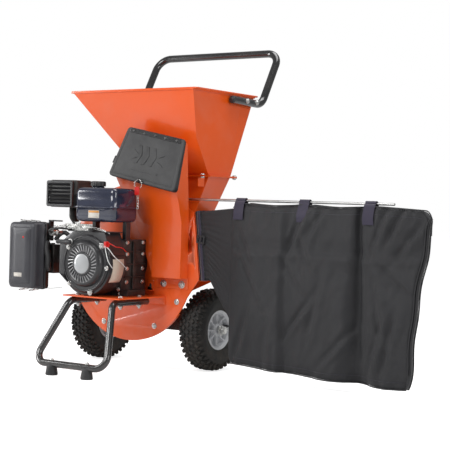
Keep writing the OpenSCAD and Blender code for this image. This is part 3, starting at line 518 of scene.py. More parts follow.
def frame_matrix(origin: Sequence[float], forward: Sequence[float],
    hint: Sequence[float] = (0, 0, 1)) -> Matrix:
    """A frame whose Z points forward.

    Args:
        origin: Its origin.
        forward: Direction of its Z axis.
        hint: Rough direction of its Y axis.

    Returns:
        The matrix from that frame to the machine frame.
    """
    z = Vector(forward).normalized()
    guess = Vector(hint)
    if abs(z.dot(guess.normalized())) > 0.98:
        guess = Vector((1, 0, 0)) if abs(z.x) < 0.9 else Vector((0, 1, 0))
    x = guess.cross(z).normalized()
    y = z.cross(x)
    return Matrix.Translation(Vector(origin)) @ Matrix((x, y, z)).transposed().to_4x4()


def block(low: Sequence[float], high: Sequence[float]) -> Shape:
    """A block between two corners."""
    (a, b, c), (d, e, f) = low, high
    points = [Vector(p) for p in ((a, b, c), (d, b, c), (d, e, c), (a, e, c), (a, b, f), (d, b, f), (d, e, f),
        (a, e, f))]
    return points, [[0, 3, 2, 1], [4, 5, 6, 7], [0, 1, 5, 4], [1, 2, 6, 5], [2, 3, 7, 6], [3, 0, 4, 7]]


def lathe(profile: Sequence[tuple[float, float]], steps: int = 48, ring: bool = False) -> Shape:
    """A profile turned about Z.

    Args:
        profile: Radius and height of each point, outside last to first so that faces point outwards.
        steps: Number of facets.
        ring: Whether the profile closes on itself.

    Returns:
        The turned shape; ends on the axis meet in one point, and other ends are closed flat.
    """
    points: list[Vector] = []
    rows: list[list[int]] = []
    for radius, height in profile:
        if radius < 1e-6:
            rows.append([len(points)] * steps)
            points.append(Vector((0, 0, height)))
        else:
            rows.append([len(points) + i for i in range(steps)])
            points += [Vector((radius * math.cos(2 * math.pi * i / steps),
                radius * math.sin(2 * math.pi * i / steps),
                               height)) for i in range(steps)]
    faces = []
    pairs = list(zip(rows, rows[1:])) + ([(rows[-1], rows[0])] if ring else [])
    for low, high in pairs:
        for i in range(steps):
            j = (i + 1) % steps
            loop = [low[i], low[j], high[j], high[i]]
            loop = [v for k, v in enumerate(loop) if v != loop[k - 1]]
            if len(loop) > 2:
                faces.append(loop)
    if not ring:
        if len(set(rows[0])) > 1:
            faces.append(rows[0][::-1])
        if len(set(rows[-1])) > 1:
            faces.append(rows[-1])
    return points, faces


def loft(rings: Sequence[Sequence[Vector]], capped: bool = True, around: bool = True) -> Shape:
    """A skin over rings of equally many points.

    Args:
        rings: The rings.
        capped: Whether the first and last ring are closed.
        around: Whether each ring is a closed loop.

    Returns:
        The skin.
    """
    n = len(rings[0])
    points = [Vector(p) for r in rings for p in r]
    faces = [[r * n + i, r * n + (i + 1) % n, (r + 1) * n + (i + 1) % n, (r + 1) * n + i]
             for r in range(len(rings) - 1) for i in range(n if around else n - 1)]
    if capped:
        faces += [list(range(n))[::-1], [(len(rings) - 1) * n + i for i in range(n)]]
    return points, faces


def tube(path: Sequence[Vector], radius: Union[float, Callable[[float], float]], sides: int = 20,
         capped: bool = True, flat: float = 1.0) -> Shape:
    """A round or flattened tube along a path, carried without twist.

    Args:
        path: Points of its centre line.
        radius: Radius, or radius at a share of the length.
        sides: Number of facets.
        capped: Whether its ends are closed.
        flat: Thickness over width.

    Returns:
        The tube.
    """
    path = [Vector(p) for p in path]
    n = len(path)
    rings = []
    side = None
    for i, p in enumerate(path):
        way = (path[min(i + 1, n - 1)] - path[max(i - 1, 0)]).normalized()
        if side is None:
            side = way.cross(Vector((0.13, 0.21, 0.97))).normalized()
        side = (side - way * side.dot(way)).normalized()
        up = way.cross(side)
        r = radius(i / (n - 1)) if callable(radius) else radius
        rings.append([p + side * r * math.cos(2 * math.pi * k / sides) + up * r * flat * math.sin(2 * math.pi * k / sides)
                      for k in range(sides)])
    return loft(rings, capped)


def arc_path(corners: Sequence[Sequence[float]], bend: float, steps: int = 10) -> list[Vector]:
    """A path whose corners are rounded with arcs.

    Args:
        corners: Its ends and corners.
        bend: Radius of the arcs.
        steps: Points on each arc, less one.

    Returns:
        The path's points.
    """
    p = [Vector(c) for c in corners]
    path = [p[0]]
    for a, b, c in zip(p, p[1:], p[2:]):
        u, w = (b - a).normalized(), (c - b).normalized()
        whole = u.angle(w)
        if whole < 0.01:
            path.append(b)
            continue
        start = b - u * bend * math.tan(whole / 2)
        side = u.cross(w).normalized().cross(u)
        path += [start + (u * math.sin(whole * k / steps) + side * (1 - math.cos(whole * k / steps))) * bend
                 for k in range(steps + 1)]
    return path + [p[-1]]


def smooth_path(points: Sequence[Sequence[float]], per_span: int = 8) -> list[Vector]:
    """A smooth curve through points.

    Args:
        points: Points to pass through.
        per_span: Steps between two of them.

    Returns:
        The curve's points.
    """
    p = [Vector(q) for q in points]
    p = [2 * p[0] - p[1]] + p + [2 * p[-1] - p[-2]]
    path = []
    for a, b, c, d in zip(p, p[1:], p[2:], p[3:]):
        for k in range(per_span):
            t = k / per_span
            path.append(0.5 * (2 * b + (c - a) * t + (2 * a - 5 * b + 4 * c - d) * t * t
                               + (3 * b - a - 3 * c + d) * t ** 3))
    return path + [p[-2]]


def prism(outline: Sequence[tuple[float, float]], depth: float) -> Shape:
    """An outline in X and Y, counter-clockwise, raised along Z."""
    rings = [[Vector((x, y, z)) for x, y in outline] for z in (0.0, depth)]
    return loft(rings)


def rounded_outline(w: float, h: float, r: float, steps: int = 6) -> list[tuple[float, float]]:
    """A rectangle with round corners, centred, counter-clockwise."""
    return [(sx * (w / 2 - r) + r * math.cos(a0 + math.pi / 2 * k / steps),
             sy * (h / 2 - r) + r * math.sin(a0 + math.pi / 2 * k / steps))
            for sx, sy, a0 in ((1, 1, 0), (-1, 1, math.pi / 2), (-1, -1, math.pi), (1, -1, 1.5 * math.pi))
            for k in range(steps + 1)]


def hex_head(across: float, height: float, washer: float = 0.0) -> Shape:
    """A hexagon head with a chamfered crown on a washer, on Z = 0.

    Args:
        across: Width over the flats.
        height: Height of the head.
        washer: Radius of the washer, or 0 for none.

    Returns:
        The head, with its washer.
    """
    r = across / math.sqrt(3)
    crown = [[Vector((k * r * math.cos(math.pi / 3 * i), k * r * math.sin(math.pi / 3 * i),
        z)) for i in range(6)]
             for k, z in ((0.96, 0.0), (1.0, 0.12 * height), (1.0, 0.8 * height), (0.84, height),
                 (0.5, height))]
    points, faces = loft(crown)
    if washer:
        more, rim = lathe([(0, -0.01), (washer, 0.0), (washer, 1.1), (washer - 0.5, 1.5), (0, 1.5)], 24)
        faces += [[v + len(points) for v in f] for f in rim]
        points += more
    return points, faces


class Draft:
    """A mesh drawn in machine millimetres, which becomes one finished piece."""

    def __init__(self, name: str) -> None:
        """Starts an empty piece with its final name."""
        self.name = name
        self.points: list[Vector] = []
        self.faces: list[list[int]] = []

    def add(self, shape: Shape, matrix: Optional[Matrix] = None) -> "Draft":
        """Adds a shape.

        Args:
            shape: Its vertices and faces.
            matrix: Frame that the shape is drawn in.

        Returns:
            This draft.
        """
        points, faces = shape
        shift = len(self.points)
        self.points += [matrix @ Vector(p) if matrix is not None else Vector(p) for p in points]
        self.faces += [[v + shift for v in f] for f in faces]
        return self

    def piece(self, body: str, finish: Finish, bevel: float = 0.0, subdivide: int = 0, flat: bool = False,
              segments: int = 2, replaces: Sequence[str] = ()) -> bpy.types.Object:
        """Makes the piece, dresses it and lets it ride.

        Args:
            body: Body that it rides on.
            finish: Its finish.
            bevel: Width of its bevelled edges in millimetres.
            subdivide: Levels of subdivision.
            flat: Whether its facets stay flat.
            segments: Segments of the bevel.
            replaces: CAD nodes that it stands for.

        Returns:
            The piece.
        """
        mesh = bpy.data.meshes.new(self.name)
        mesh.from_pydata([at(*p) for p in self.points], [], self.faces)
        bm = bmesh.new()
        bm.from_mesh(mesh)
        bmesh.ops.remove_doubles(bm, verts=bm.verts, dist=2e-6)
        bmesh.ops.recalc_face_normals(bm, faces=bm.faces)
        bm.to_mesh(mesh)
        bm.free()
        obj = bpy.data.objects.new(self.name, mesh)
        bpy.context.scene.collection.objects.link(obj)
        return settle(obj, body, finish, bevel, subdivide, flat, segments, replaces)


def settle(obj: bpy.types.Object, body: str, finish: Finish, bevel: float = 0.0, subdivide: int = 0,
           flat: bool = False, segments: int = 2, replaces: Sequence[str] = ()) -> bpy.types.Object:
    """Dresses a mesh object, finishes its edges and lets it ride.

    Args:
        obj: The object, in place.
        body: Body that it rides on.
        finish: Its finish.
        bevel: Width of its bevelled edges in millimetres.
        subdivide: Levels of subdivision.
        flat: Whether its facets stay flat.
        segments: Segments of the bevel.
        replaces: CAD nodes that it stands for.

    Returns:
        The object.
    """
    for polygon in obj.data.polygons:
        polygon.use_smooth = not flat
    if bevel:
        edge = obj.modifiers.new("edges", "BEVEL")
        edge.width, edge.segments, edge.limit_method = bevel * MM, segments, "ANGLE"
        edge.angle_limit = math.radians(32)
        edge.harden_normals = not flat
    if subdivide:
        skin = obj.modifiers.new("surface", "SUBSURF")
        skin.levels = skin.render_levels = subdivide
    obj.data.materials.clear()
    obj.data.materials.append(finish.material())
    if replaces:
        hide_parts(*replaces)
    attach(obj, body)
    LOG.info("%s on %s in %s", obj.name, body, finish.name)
    return obj


def softened(node: str, finish: Finish, bevel: float = 1.0, segments: int = 2, name: str = "",
             keep: Optional[Callable[[Vector], bool]] = None) -> bpy.types.Object:
    """A copy of a CAD node with eased edges, which stands for it.

    Args:
        node: Name of the CAD node.
        finish: Its finish.
        bevel: Width of the eased edges in millimetres.
        segments: Segments of each edge.
        name: Name of the piece.
        keep: Test on a loose part's centre in machine millimetres, for keeping only some.

    Returns:
        The piece.
    """
    mesh = frame["nodes"][node].data.copy()
    bm = bmesh.new()
    bm.from_mesh(mesh)
    bmesh.ops.remove_doubles(bm, verts=bm.verts, dist=1e-5)
    bmesh.ops.dissolve_limit(bm, angle_limit=math.radians(1.2), verts=bm.verts, edges=bm.edges)
    if keep is not None:
        spare = [f for f in bm.faces if not keep((f.calc_center_median() - ORIGIN) / MM)]
        bmesh.ops.delete(bm, geom=spare, context="FACES")
    bm.to_mesh(mesh)
    bm.free()
    obj = bpy.data.objects.new(name or node + "_skin", mesh)
    bpy.context.scene.collection.objects.link(obj)
    return settle(obj, body_of(node), finish, bevel, segments=segments, replaces=[node])


def dress(nodes: Iterable[str], finish: Finish) -> None:
    """Gives CAD nodes a finish.

    Args:
        nodes: Names of the nodes.
        finish: Their finish.
    """
    for name in nodes:
        node = frame["nodes"][name]
        node.data.materials.clear()
        node.data.materials.append(finish.material())
        LOG.info("%s dressed in %s", name, finish.name)


# ---- Geometry Nodes ----

class Pattern:
    """A Geometry Nodes tree that sets copies of a small shape along or around something."""

    def __init__(self, name: str, sizes: dict[str, tuple[str, Any]]) -> None:
        """Starts the tree.

        Args:
            name: The tree's name.
            sizes: Its named inputs, as socket type and value.
        """
        self.tree = bpy.data.node_groups.new(name, "GeometryNodeTree")
        self.tree.interface.new_socket("Geometry", in_out="INPUT", socket_type="NodeSocketGeometry")
        self.keys = {}
        self.values = {}
        for key, (kind, value) in sizes.items():
            made = self.tree.interface.new_socket(key, in_out="INPUT", socket_type=kind)
            self.keys[key], self.values[key] = made.identifier, value
        self.tree.interface.new_socket("Geometry", in_out="OUTPUT", socket_type="NodeSocketGeometry")
        self.source = self.tree.nodes.new("NodeGroupInput")
        self.sink = self.tree.nodes.new("NodeGroupOutput")

    def input(self, key: str) -> Any:
        """The socket of a named input."""
        return self.source.outputs[key]

    def node(self, kind: str, settings: Optional[dict] = None, sockets: Optional[dict] = None) -> Any:
        """Adds a node.

        Args:
            kind: The node's type.
            settings: Properties set before its sockets.
            sockets: Values or sockets for its inputs.

        Returns:
            The node.
        """
        made = self.tree.nodes.new(kind)
        for key, value in (settings or {}).items():
            setattr(made, key, value)
        for key, value in (sockets or {}).items():
            if isinstance(value, bpy.types.NodeSocket):
                self.tree.links.new(value, made.inputs[key])
            else:
                made.inputs[key].default_value = value
        return made

    def finish(self, name: str, geometry: Any, finish: Finish, body: str, matrix: Optional[Matrix] = None,
               replaces: Sequence[str] = (), flat: bool = False) -> bpy.types.Object:
        """Runs the tree and turns its result into one plain piece.

        Args:
            name: Name of the piece.
            geometry: Socket that holds the result, drawn in millimetres.
            finish: Finish of the piece.
            body: Body that it rides on.
            matrix: Frame that the result is drawn in.
            replaces: CAD nodes that it stands for.
            flat: Whether its facets stay flat.

        Returns:
            The piece.
        """
        real = self.node("GeometryNodeRealizeInstances", {}, {"Geometry": geometry})
        coat = self.node("GeometryNodeSetMaterial", {},
            {"Geometry": real.outputs[0], "Material": finish.material()})
        self.tree.links.new(coat.outputs[0], self.sink.inputs[0])
        host = bpy.data.objects.new(name + "_host", bpy.data.meshes.new(name + "_host"))
        bpy.context.scene.collection.objects.link(host)
        modifier = host.modifiers.new("pattern", "NODES")
        modifier.node_group = self.tree
        for key, identifier in self.keys.items():
            modifier[identifier] = self.values[key]
        view = bpy.context.evaluated_depsgraph_get()
        mesh = bpy.data.meshes.new_from_object(host.evaluated_get(view), depsgraph=view)
        bpy.data.objects.remove(host)
        whole = Matrix.Translation(ORIGIN) @ Matrix.Scale(MM, 4) @ (matrix or Matrix.Identity(4))
        mesh.transform(whole)
        if whole.determinant() < 0:
            mesh.flip_normals()
        obj = bpy.data.objects.new(name, mesh)
        bpy.context.scene.collection.objects.link(obj)
        return settle(obj, body, finish, flat=flat, replaces=replaces)


# ---- Studio ----

@dataclass
class Studio:
    """Pale floor, soft lights and the camera."""

    eye: tuple[float, float, float] = (2641.0, -2900.0, 525.0)
    azimuth: float = 35.2
    pitch: float = 0.76
    roll: float = 1.7
    lens: float = 102.7

    def camera(self) -> None:
        """Creates the camera at the usual viewing angle."""
        az, down = math.radians(self.azimuth), math.radians(self.pitch)
        forward = Vector((-math.sin(az) * math.cos(down), math.cos(az) * math.cos(down), -math.sin(down)))
        side = forward.cross(Vector((0, 0, 1))).normalized()
        up = side.cross(forward)
        tilt = math.radians(self.roll)
        right = side * math.cos(tilt) + up * math.sin(tilt)
        top = up * math.cos(tilt) - side * math.sin(tilt)
        data = bpy.data.cameras.new("camera")
        data.lens, data.sensor_width = self.lens, 36.0
        obj = bpy.data.objects.new("camera", data)
        turn = Matrix((right, top, -forward)).transposed().to_4x4()
        obj.matrix_world = Matrix.Translation(at(*self.eye)) @ turn
        bpy.context.scene.collection.objects.link(obj)
        bpy.context.scene.camera = obj

    def light(self, name: str, place: tuple[float, float, float], target: tuple[float, float, float],
              power: float, size: tuple[float, float]) -> None:
        """Adds one soft box.

        Args:
            name: Name of the light.
            place: Where it stands, in metres.
            target: Where it points, in metres.
            power: Its power in watts.
            size: Its width and height in metres.
        """
        data = bpy.data.lights.new(name, "AREA")
        data.shape, data.size, data.size_y, data.energy = "RECTANGLE", size[0], size[1], power
        obj = bpy.data.objects.new(name, data)
        obj.location = place
        obj.rotation_euler = (Vector(target) - Vector(place)).to_track_quat("-Z", "Y").to_euler()
        bpy.context.scene.collection.objects.link(obj)

    def build(self) -> None:
        """Builds the floor, the world, the lights and the camera."""
        self.camera()
        world = bpy.data.worlds.new("studio")
        world.use_nodes = True
        tree = world.node_tree
        seen, rays, pick = (tree.nodes.new(kind) for kind in
                            ("ShaderNodeBackground", "ShaderNodeLightPath", "ShaderNodeMixShader"))
        fill = tree.nodes["Background"]
        for node, strength in ((fill, 0.3), (seen, 1.0)):
            node.inputs["Color"].default_value = (1.0, 1.0, 1.0, 1.0)
            node.inputs["Strength"].default_value = strength
        tree.links.new(rays.outputs["Is Camera Ray"], pick.inputs[0])
        tree.links.new(fill.outputs[0], pick.inputs[1])
        tree.links.new(seen.outputs[0], pick.inputs[2])
        tree.links.new(pick.outputs[0], tree.nodes["World Output"].inputs["Surface"])
        bpy.context.scene.world = world
        bpy.context.scene.view_settings.view_transform = "Standard"
        mesh = bpy.data.meshes.new("floor")
        mesh.from_pydata([(-30, -30, 0), (30, -30, 0), (30, 30, 0), (-30, 30, 0)], [], [(0, 1, 2, 3)])
        floor = bpy.data.objects.new("floor", mesh)
        bpy.context.scene.collection.objects.link(floor)
        g = Graph("pale_floor")
        g.feed("Base Color", g.mix(g.noise(0.7), (0.72, 0.72, 0.72), (0.74, 0.74, 0.74)))
        g.feed("Roughness", 0.9)
        seen = g.node("ShaderNodeLightPath", output="Is Camera Ray")
        g.feed("Emission Color", g.mix(seen, (0.12, 0.12, 0.12), (1.0, 1.0, 1.0)))
        g.feed("Emission Strength", 0.78)
        mesh.materials.append(g.material)
        self.light("key", (-0.6, -2.9, 2.5), (-0.2, 0.0, 0.5), 62.0, (1.5, 1.5))
        self.light("side", (2.9, -0.6, 1.5), (-0.1, 0.0, 0.5), 30.0, (0.9, 1.8))
        self.light("strip", (-2.6, -1.6, 1.1), (-0.3, 0.0, 0.5), 34.0, (0.4, 1.8))
        self.light("top", (0.2, 0.6, 3.2), (0.0, 0.0, 0.4), 46.0, (2.2, 1.6))


# ---- Handle and stand ----

@dataclass
class TubeFrame:
    """The handle, the front stand, their feet and their bolts."""

    handle_r: float = 12.5
    stand_r: float = 11.0
    arms: tuple[float, float] = (-51.0, 121.0)
    feet: tuple[float, float] = (-36.0, 106.0)

    def handle(self) -> None:
        """Builds the bent handle tube with its end plugs and bolts."""
        low, high = node_box("handle_tube")
        r = self.handle_r
        xl, xr, back, top, arm = low.x + r, high.x - r, high.y - r, high.z - r, 874.0
        path = arc_path([(xr, low.y + 8, arm), (xr, 645, arm - 4), (xr, back, top), (xl, back, top),
                         (xl, 645, arm - 4), (xl, low.y + 8, arm)], 48, 14)
        Draft("handle_bar").add(tube(path, r, 32)).piece("frame", GLOSS_BLACK, bevel=0.8,
            replaces=["handle_tube"])
        plugs = Draft("handle_plugs")
        for x in (xl, xr):
            plugs.add(lathe([(0, 0), (r - 2, 0), (r - 2, 4), (r - 0.2, 4.2), (r - 0.4, 7), (r - 3, 9.5),
                (0, 10.5)], 32),
                      frame_matrix((x, low.y + 12, arm), (0, -1, 0)))
        plugs.piece("frame", BLACK_PLASTIC)
        bolts = Draft("handle_fixings")
        for y in (545.0, 600.0):
            bolts.add(hex_head(13, 5.5, 9.5), frame_matrix((xr + r, y, arm), (1, 0, 0), (0, 0.3, 1)))
            bolts.add(lathe([(4, -4), (4, 5.5), (3.4, 6.2), (0, 6.2)], 20),
                frame_matrix((xr + r, y, arm), (1, 0, 0)))
            bolts.add(hex_head(13, 5.5, 9.5), frame_matrix((xl - r, y, arm), (-1, 0, 0), (0, -0.4, 1)))
            bolts.add(hex_head(13, 5.5, 9.5), frame_matrix((247.0, y, arm), (-1, 0, 0), (0, 0.2, 1)))
            bolts.add(hex_head(13, 5.5, 9.5), frame_matrix((xl + r + 10.0, y, arm), (1, 0, 0), (0, 0.2, 1)))
        bolts.piece("frame", ZINC, bevel=0.3, replaces=["handle_bolts"])

    def stand(self) -> None:
        """Builds the bent stand tube, its feet and its bolts."""
        r, arm, bar, half, mid = self.stand_r, 225.0, 35.0, 147.0, 35.0
        path = arc_path([(self.arms[0], 258, arm), (self.arms[0], 92, arm), (mid - half, 0, bar),
            (mid + half, 0, bar),
                         (self.arms[1], 92, arm), (self.arms[1], 258, arm)], 34, 14)
        Draft("stand_bar").add(tube(path, r, 32)).piece("frame", GLOSS_BLACK, bevel=0.8,
            replaces=["stand_tube"])
        feet = Draft("rubber_feet")
        for x in self.feet:
            feet.add(lathe([(5, 3), (9, 0.4), (16.5, 0.0), (18.6, 1.6), (19, 4), (17.2, 16), (16, 24),
                (15.2, 30), (13.5, 33),
                            (5, 33)], 40), Matrix.Translation((x, 0, 0)))
        feet.piece("frame", RUBBER, bevel=0.4, replaces=["stand_feet"])
        bolts = Draft("stand_fixings")
        for x in self.arms:
            for y in (130.0, 220.0):
                bolts.add(hex_head(13, 5.5, 8.5), frame_matrix((x, y, arm - r), (0, 0, -1), (0.3, 1, 0)))
                bolts.add(lathe([(4, -6), (4, 9), (3.2, 10), (0, 10)], 20),
                    frame_matrix((x, y, arm - r), (0, 0, -1)))
                bolts.add(hex_head(13, 5.5, 8.5), frame_matrix((x, y, 240.2), (0, 0, 1), (0.3, 1, 0)))
        for x in self.feet:
            bolts.add(hex_head(10, 4.2, 7), frame_matrix((x, 0, bar + r - 0.4), (0, 0, 1), (0.2, 1, 0)))
            bolts.add(lathe([(3, -4), (3, 4.5), (2.5, 5.2), (0, 5.2)], 18),
                frame_matrix((x, 0, bar + r), (0, 0, 1)))
        bolts.piece("frame", ZINC, bevel=0.3, replaces=["stand_bolts"])

    def build(self) -> None:
        """Builds the whole tube frame."""
        self.handle()
        self.stand()


# ---- Wheels ----

class Side(Enum):
    """Which side of the machine a piece is on, as a sign along X."""

    LEFT = -1
    RIGHT = 1


@dataclass
class Wheel:
    """One pneumatic wheel with a diamond tread, a spoked rim and its nut."""

    side: Side
    tyre_r: float = 132.0
    tyre_w: float = 84.0
    rim_r: float = 62.0
    axle_y: float = 462.0
    wheel_x: float = 228.0

    @property
    def body(self) -> str:
        """Body that the wheel turns with."""
        return "wheel_left" if self.side is Side.LEFT else "wheel_right"

    @property
    def tag(self) -> str:
        """Ending of its pieces' names."""
        return "left" if self.side is Side.LEFT else "right"

    def hub(self) -> Matrix:
        """Frame at the wheel's middle, with Z pointing outwards along the axle."""
        s = self.side.value
        return frame_matrix((s * self.wheel_x, self.axle_y, self.tyre_r), (s, 0, 0))

    def tyre(self) -> None:
        """Builds the carcass: bead, sidewall ring, shoulder and crown."""
        h, r, seat = self.tyre_w / 2, self.tyre_r - 5.0, self.rim_r
        half = [(seat + 0.3, h - 15), (seat + 0.5, h - 11.5), (seat + 3, h - 9.2), (seat + 7, h - 8.2),
                (seat + 9, h - 6.0), (seat + 11, h - 5.4), (seat + 18, h - 3.4), (seat + 20, h - 2.4),
                    (seat + 27, h - 0.8),
                (seat + 34, h - 0.6), (seat + 36, h - 1.6), (seat + 42, h - 2.0), (seat + 50, h - 5),
                    (r - 8, h - 10),
                (r - 3.6, h - 17), (r - 1.2, h - 26), (r, h - 36)]
        profile = [(a, -b) for a, b in half] + [(a, b) for a, b in reversed(half)]
        inner = [(r - 7, 26), (r - 7, -26), (seat + 30, -h + 8)]
        Draft("tyre_casing_" + self.tag).add(
            lathe(profile + [(seat + 30, h - 8)] + inner, 96, ring=True), self.hub()).piece(
            self.body, TYRE, replaces=["tyre_" + self.tag])

    def tread(self) -> None:
        """Sets the tread's diamond knobs and shoulder lugs around the tyre."""
        rows = [(0.0, 11.0, 14.0, 0.0, 5.0, 0.0, 36), (15.0, 10.5, 13.0, 0.5, 5.4, -5.0, 36),
                (-15.0, 10.5, 13.0, 0.5, 5.4, 5.0, 36), (27.0, 12.5, 11.0, 0.0, 8.4, -22.0, 36),
                (-27.0, 12.5, 11.0, 0.0, 8.4, 22.0, 36), (35.5, 15.0, 8.0, 0.5, 15.0, -50.0, 36),
                (-35.5, 15.0, 8.0, 0.5, 15.0, 50.0, 36)]
        p = Pattern("tread_" + self.tag, {"Tyre radius": ("NodeSocketFloat", self.tyre_r),
                                          "Knobs around": ("NodeSocketInt", 36)})
        join = p.node("GeometryNodeJoinGeometry")
        for height, wide, along, shift, drop, lean, _ in rows:
            circle = p.node("GeometryNodeMeshCircle", {"fill_type": "NONE"},
                            {"Vertices": p.input("Knobs around"), "Radius": 1.0})
            knob = p.node("GeometryNodeMeshCone", {"fill_type": "NGON"},
                          {"Vertices": 4, "Radius Top": 0.5, "Radius Bottom": 0.72, "Depth": 7.0})
            size = p.node("GeometryNodeTransform", {}, {"Geometry": knob.outputs[0],
                                                        "Scale": (along, wide, 1.0)})
            reach = p.node("ShaderNodeMath", {"operation": "SUBTRACT"},
                {0: p.input("Tyre radius"), 1: drop + 2.0})
            place = p.node("GeometryNodeSetPosition", {}, {"Geometry": circle.outputs[0]})
            spot = p.node("GeometryNodeInputPosition")
            grown = p.node("ShaderNodeVectorMath", {"operation": "SCALE"},
                {0: spot.outputs[0], "Scale": reach.outputs[0]})
            p.tree.links.new(grown.outputs[0], place.inputs["Position"])
            face = p.node("FunctionNodeAlignRotationToVector", {"axis": "Z"}, {"Vector": spot.outputs[0]})
            square = p.node("FunctionNodeAlignRotationToVector", {"axis": "Y", "pivot_axis": "Z"},
                            {"Rotation": face.outputs[0], "Vector": (0.0, 0.0, 1.0)})
            tip = p.node("FunctionNodeRotateRotation", {"rotation_space": "LOCAL"}, {
                "Rotation": square.outputs[0], "Rotate By": (math.radians(lean), 0.0, 0.0)})
            copies = p.node("GeometryNodeInstanceOnPoints", {}, {"Points": place.outputs[0],
                                                                 "Instance": size.outputs[0], "Rotation": tip.outputs[0]})
            moved = p.node("GeometryNodeTransform", {}, {
                "Geometry": copies.outputs[0], "Translation": (0.0, 0.0, height),
                "Rotation": (0.0, 0.0, shift * 2 * math.pi / 36)})
            p.tree.links.new(moved.outputs[0], join.inputs[0])
        p.finish("tyre_tread_" + self.tag, join.outputs[0], TYRE, self.body, self.hub(), flat=True)

    def rim(self) -> None:
        """Builds the rim's two flanges, its eight ribbed spokes and its hub."""
        h, r = self.tyre_w / 2, self.rim_r
        rim = Draft("wheel_rim_" + self.tag)
        rim.add(lathe([(r - 8, -h + 14), (r - 1, -h + 10.5), (r + 1.6, -h + 10), (r + 1.8, -h + 12),
            (r - 0.4, -h + 14),
                       (r - 3, -h + 20), (r - 4, 0), (r - 3, h - 20), (r - 0.4, h - 14), (r + 1.8, h - 12),
                       (r + 1.6, h - 10), (r - 1, h - 10.5), (r - 8, h - 14), (r - 10, h - 20),
                           (r - 10, -h + 20)], 96, ring=True))
        rim.add(lathe([(9, -34), (15, -34), (17, -32), (17, 8), (20, 12), (20, 22), (17.5, 27), (15, 30),
            (9, 30)], 48, ring=True))
        for i in range(8):
            turn = Matrix.Rotation(i * math.pi / 4, 4, "Z")
            rings = []
            for radius, low, top, half in ((15, 6, 24, 5.0), (22, 7, 23, 3.4), (34, 8, 20, 2.8),
                (46, 9, 22, 3.4),
                                           (r - 8, 8, 27, 5.2)):
                rings.append([Vector((radius, y, z)) for y,
                    z in ((-half, low), (half, low), (half * 0.7, top), (-half * 0.7, top))])
            rim.add(loft(rings), turn)
        rim.add(lathe([(16, 8), (r - 8, 8), (r - 8, 10.5), (16, 10.5)], 64, ring=True))
        rim.points = [self.hub() @ q for q in rim.points]
        rim.piece(self.body, RIM_SILVER, bevel=0.6, replaces=["rim_" + self.tag])
        valve = Draft("tyre_valve_" + self.tag)
        valve.add(lathe([(0, 0), (4, 0), (3.6, 7), (2.6, 9), (2.6, 15), (3.1, 15.2), (3.1, 24), (2.4, 25),
            (0, 25)], 20),
                  self.hub() @ frame_matrix((47, 10, 8), (0.1, 0.0, 1)))
        valve.piece(self.body, RUBBER)

    def nut(self) -> None:
        """Builds the nut, its washer and its split pin."""
        s = self.side.value
        end = self.wheel_x + self.tyre_w / 2 + 14
        nuts = Draft("hub_nut_" + self.tag)
        out = frame_matrix((s * (end - 19.5), self.axle_y, self.tyre_r), (s, 0, 0), (0, 0.3, 1))
        nuts.add(lathe([(8.2, 0), (16, 0), (16.4, 0.6), (16.4, 2.2), (15.8, 3), (8.2, 3)], 36, ring=True),
            out)
        nuts.add(hex_head(25, 11, 0), out @ Matrix.Translation((0, 0, 3)))
        nuts.add(tube(smooth_path([(-13, 0, 17.2), (-6, 0.5, 17.2), (6, 0.5, 17.2), (12, 3, 18.2),
            (13.5, 8, 16.5)], 5), 1.6, 10), out)
        nuts.add(lathe([(1.4, -1.4), (4.2, -1.4), (4.2, 1.4), (1.4, 1.4)], 20, ring=True),
                 out @ frame_matrix((-16, 0, 17.2), (0, 1, 0)))
        nuts.piece("frame", ZINC, bevel=0.3)

    def build(self) -> None:
        """Builds the wheel."""
        self.tyre()
        self.tread()
        self.rim()
        self.nut()


# ---- Sheet-metal bodywork ----

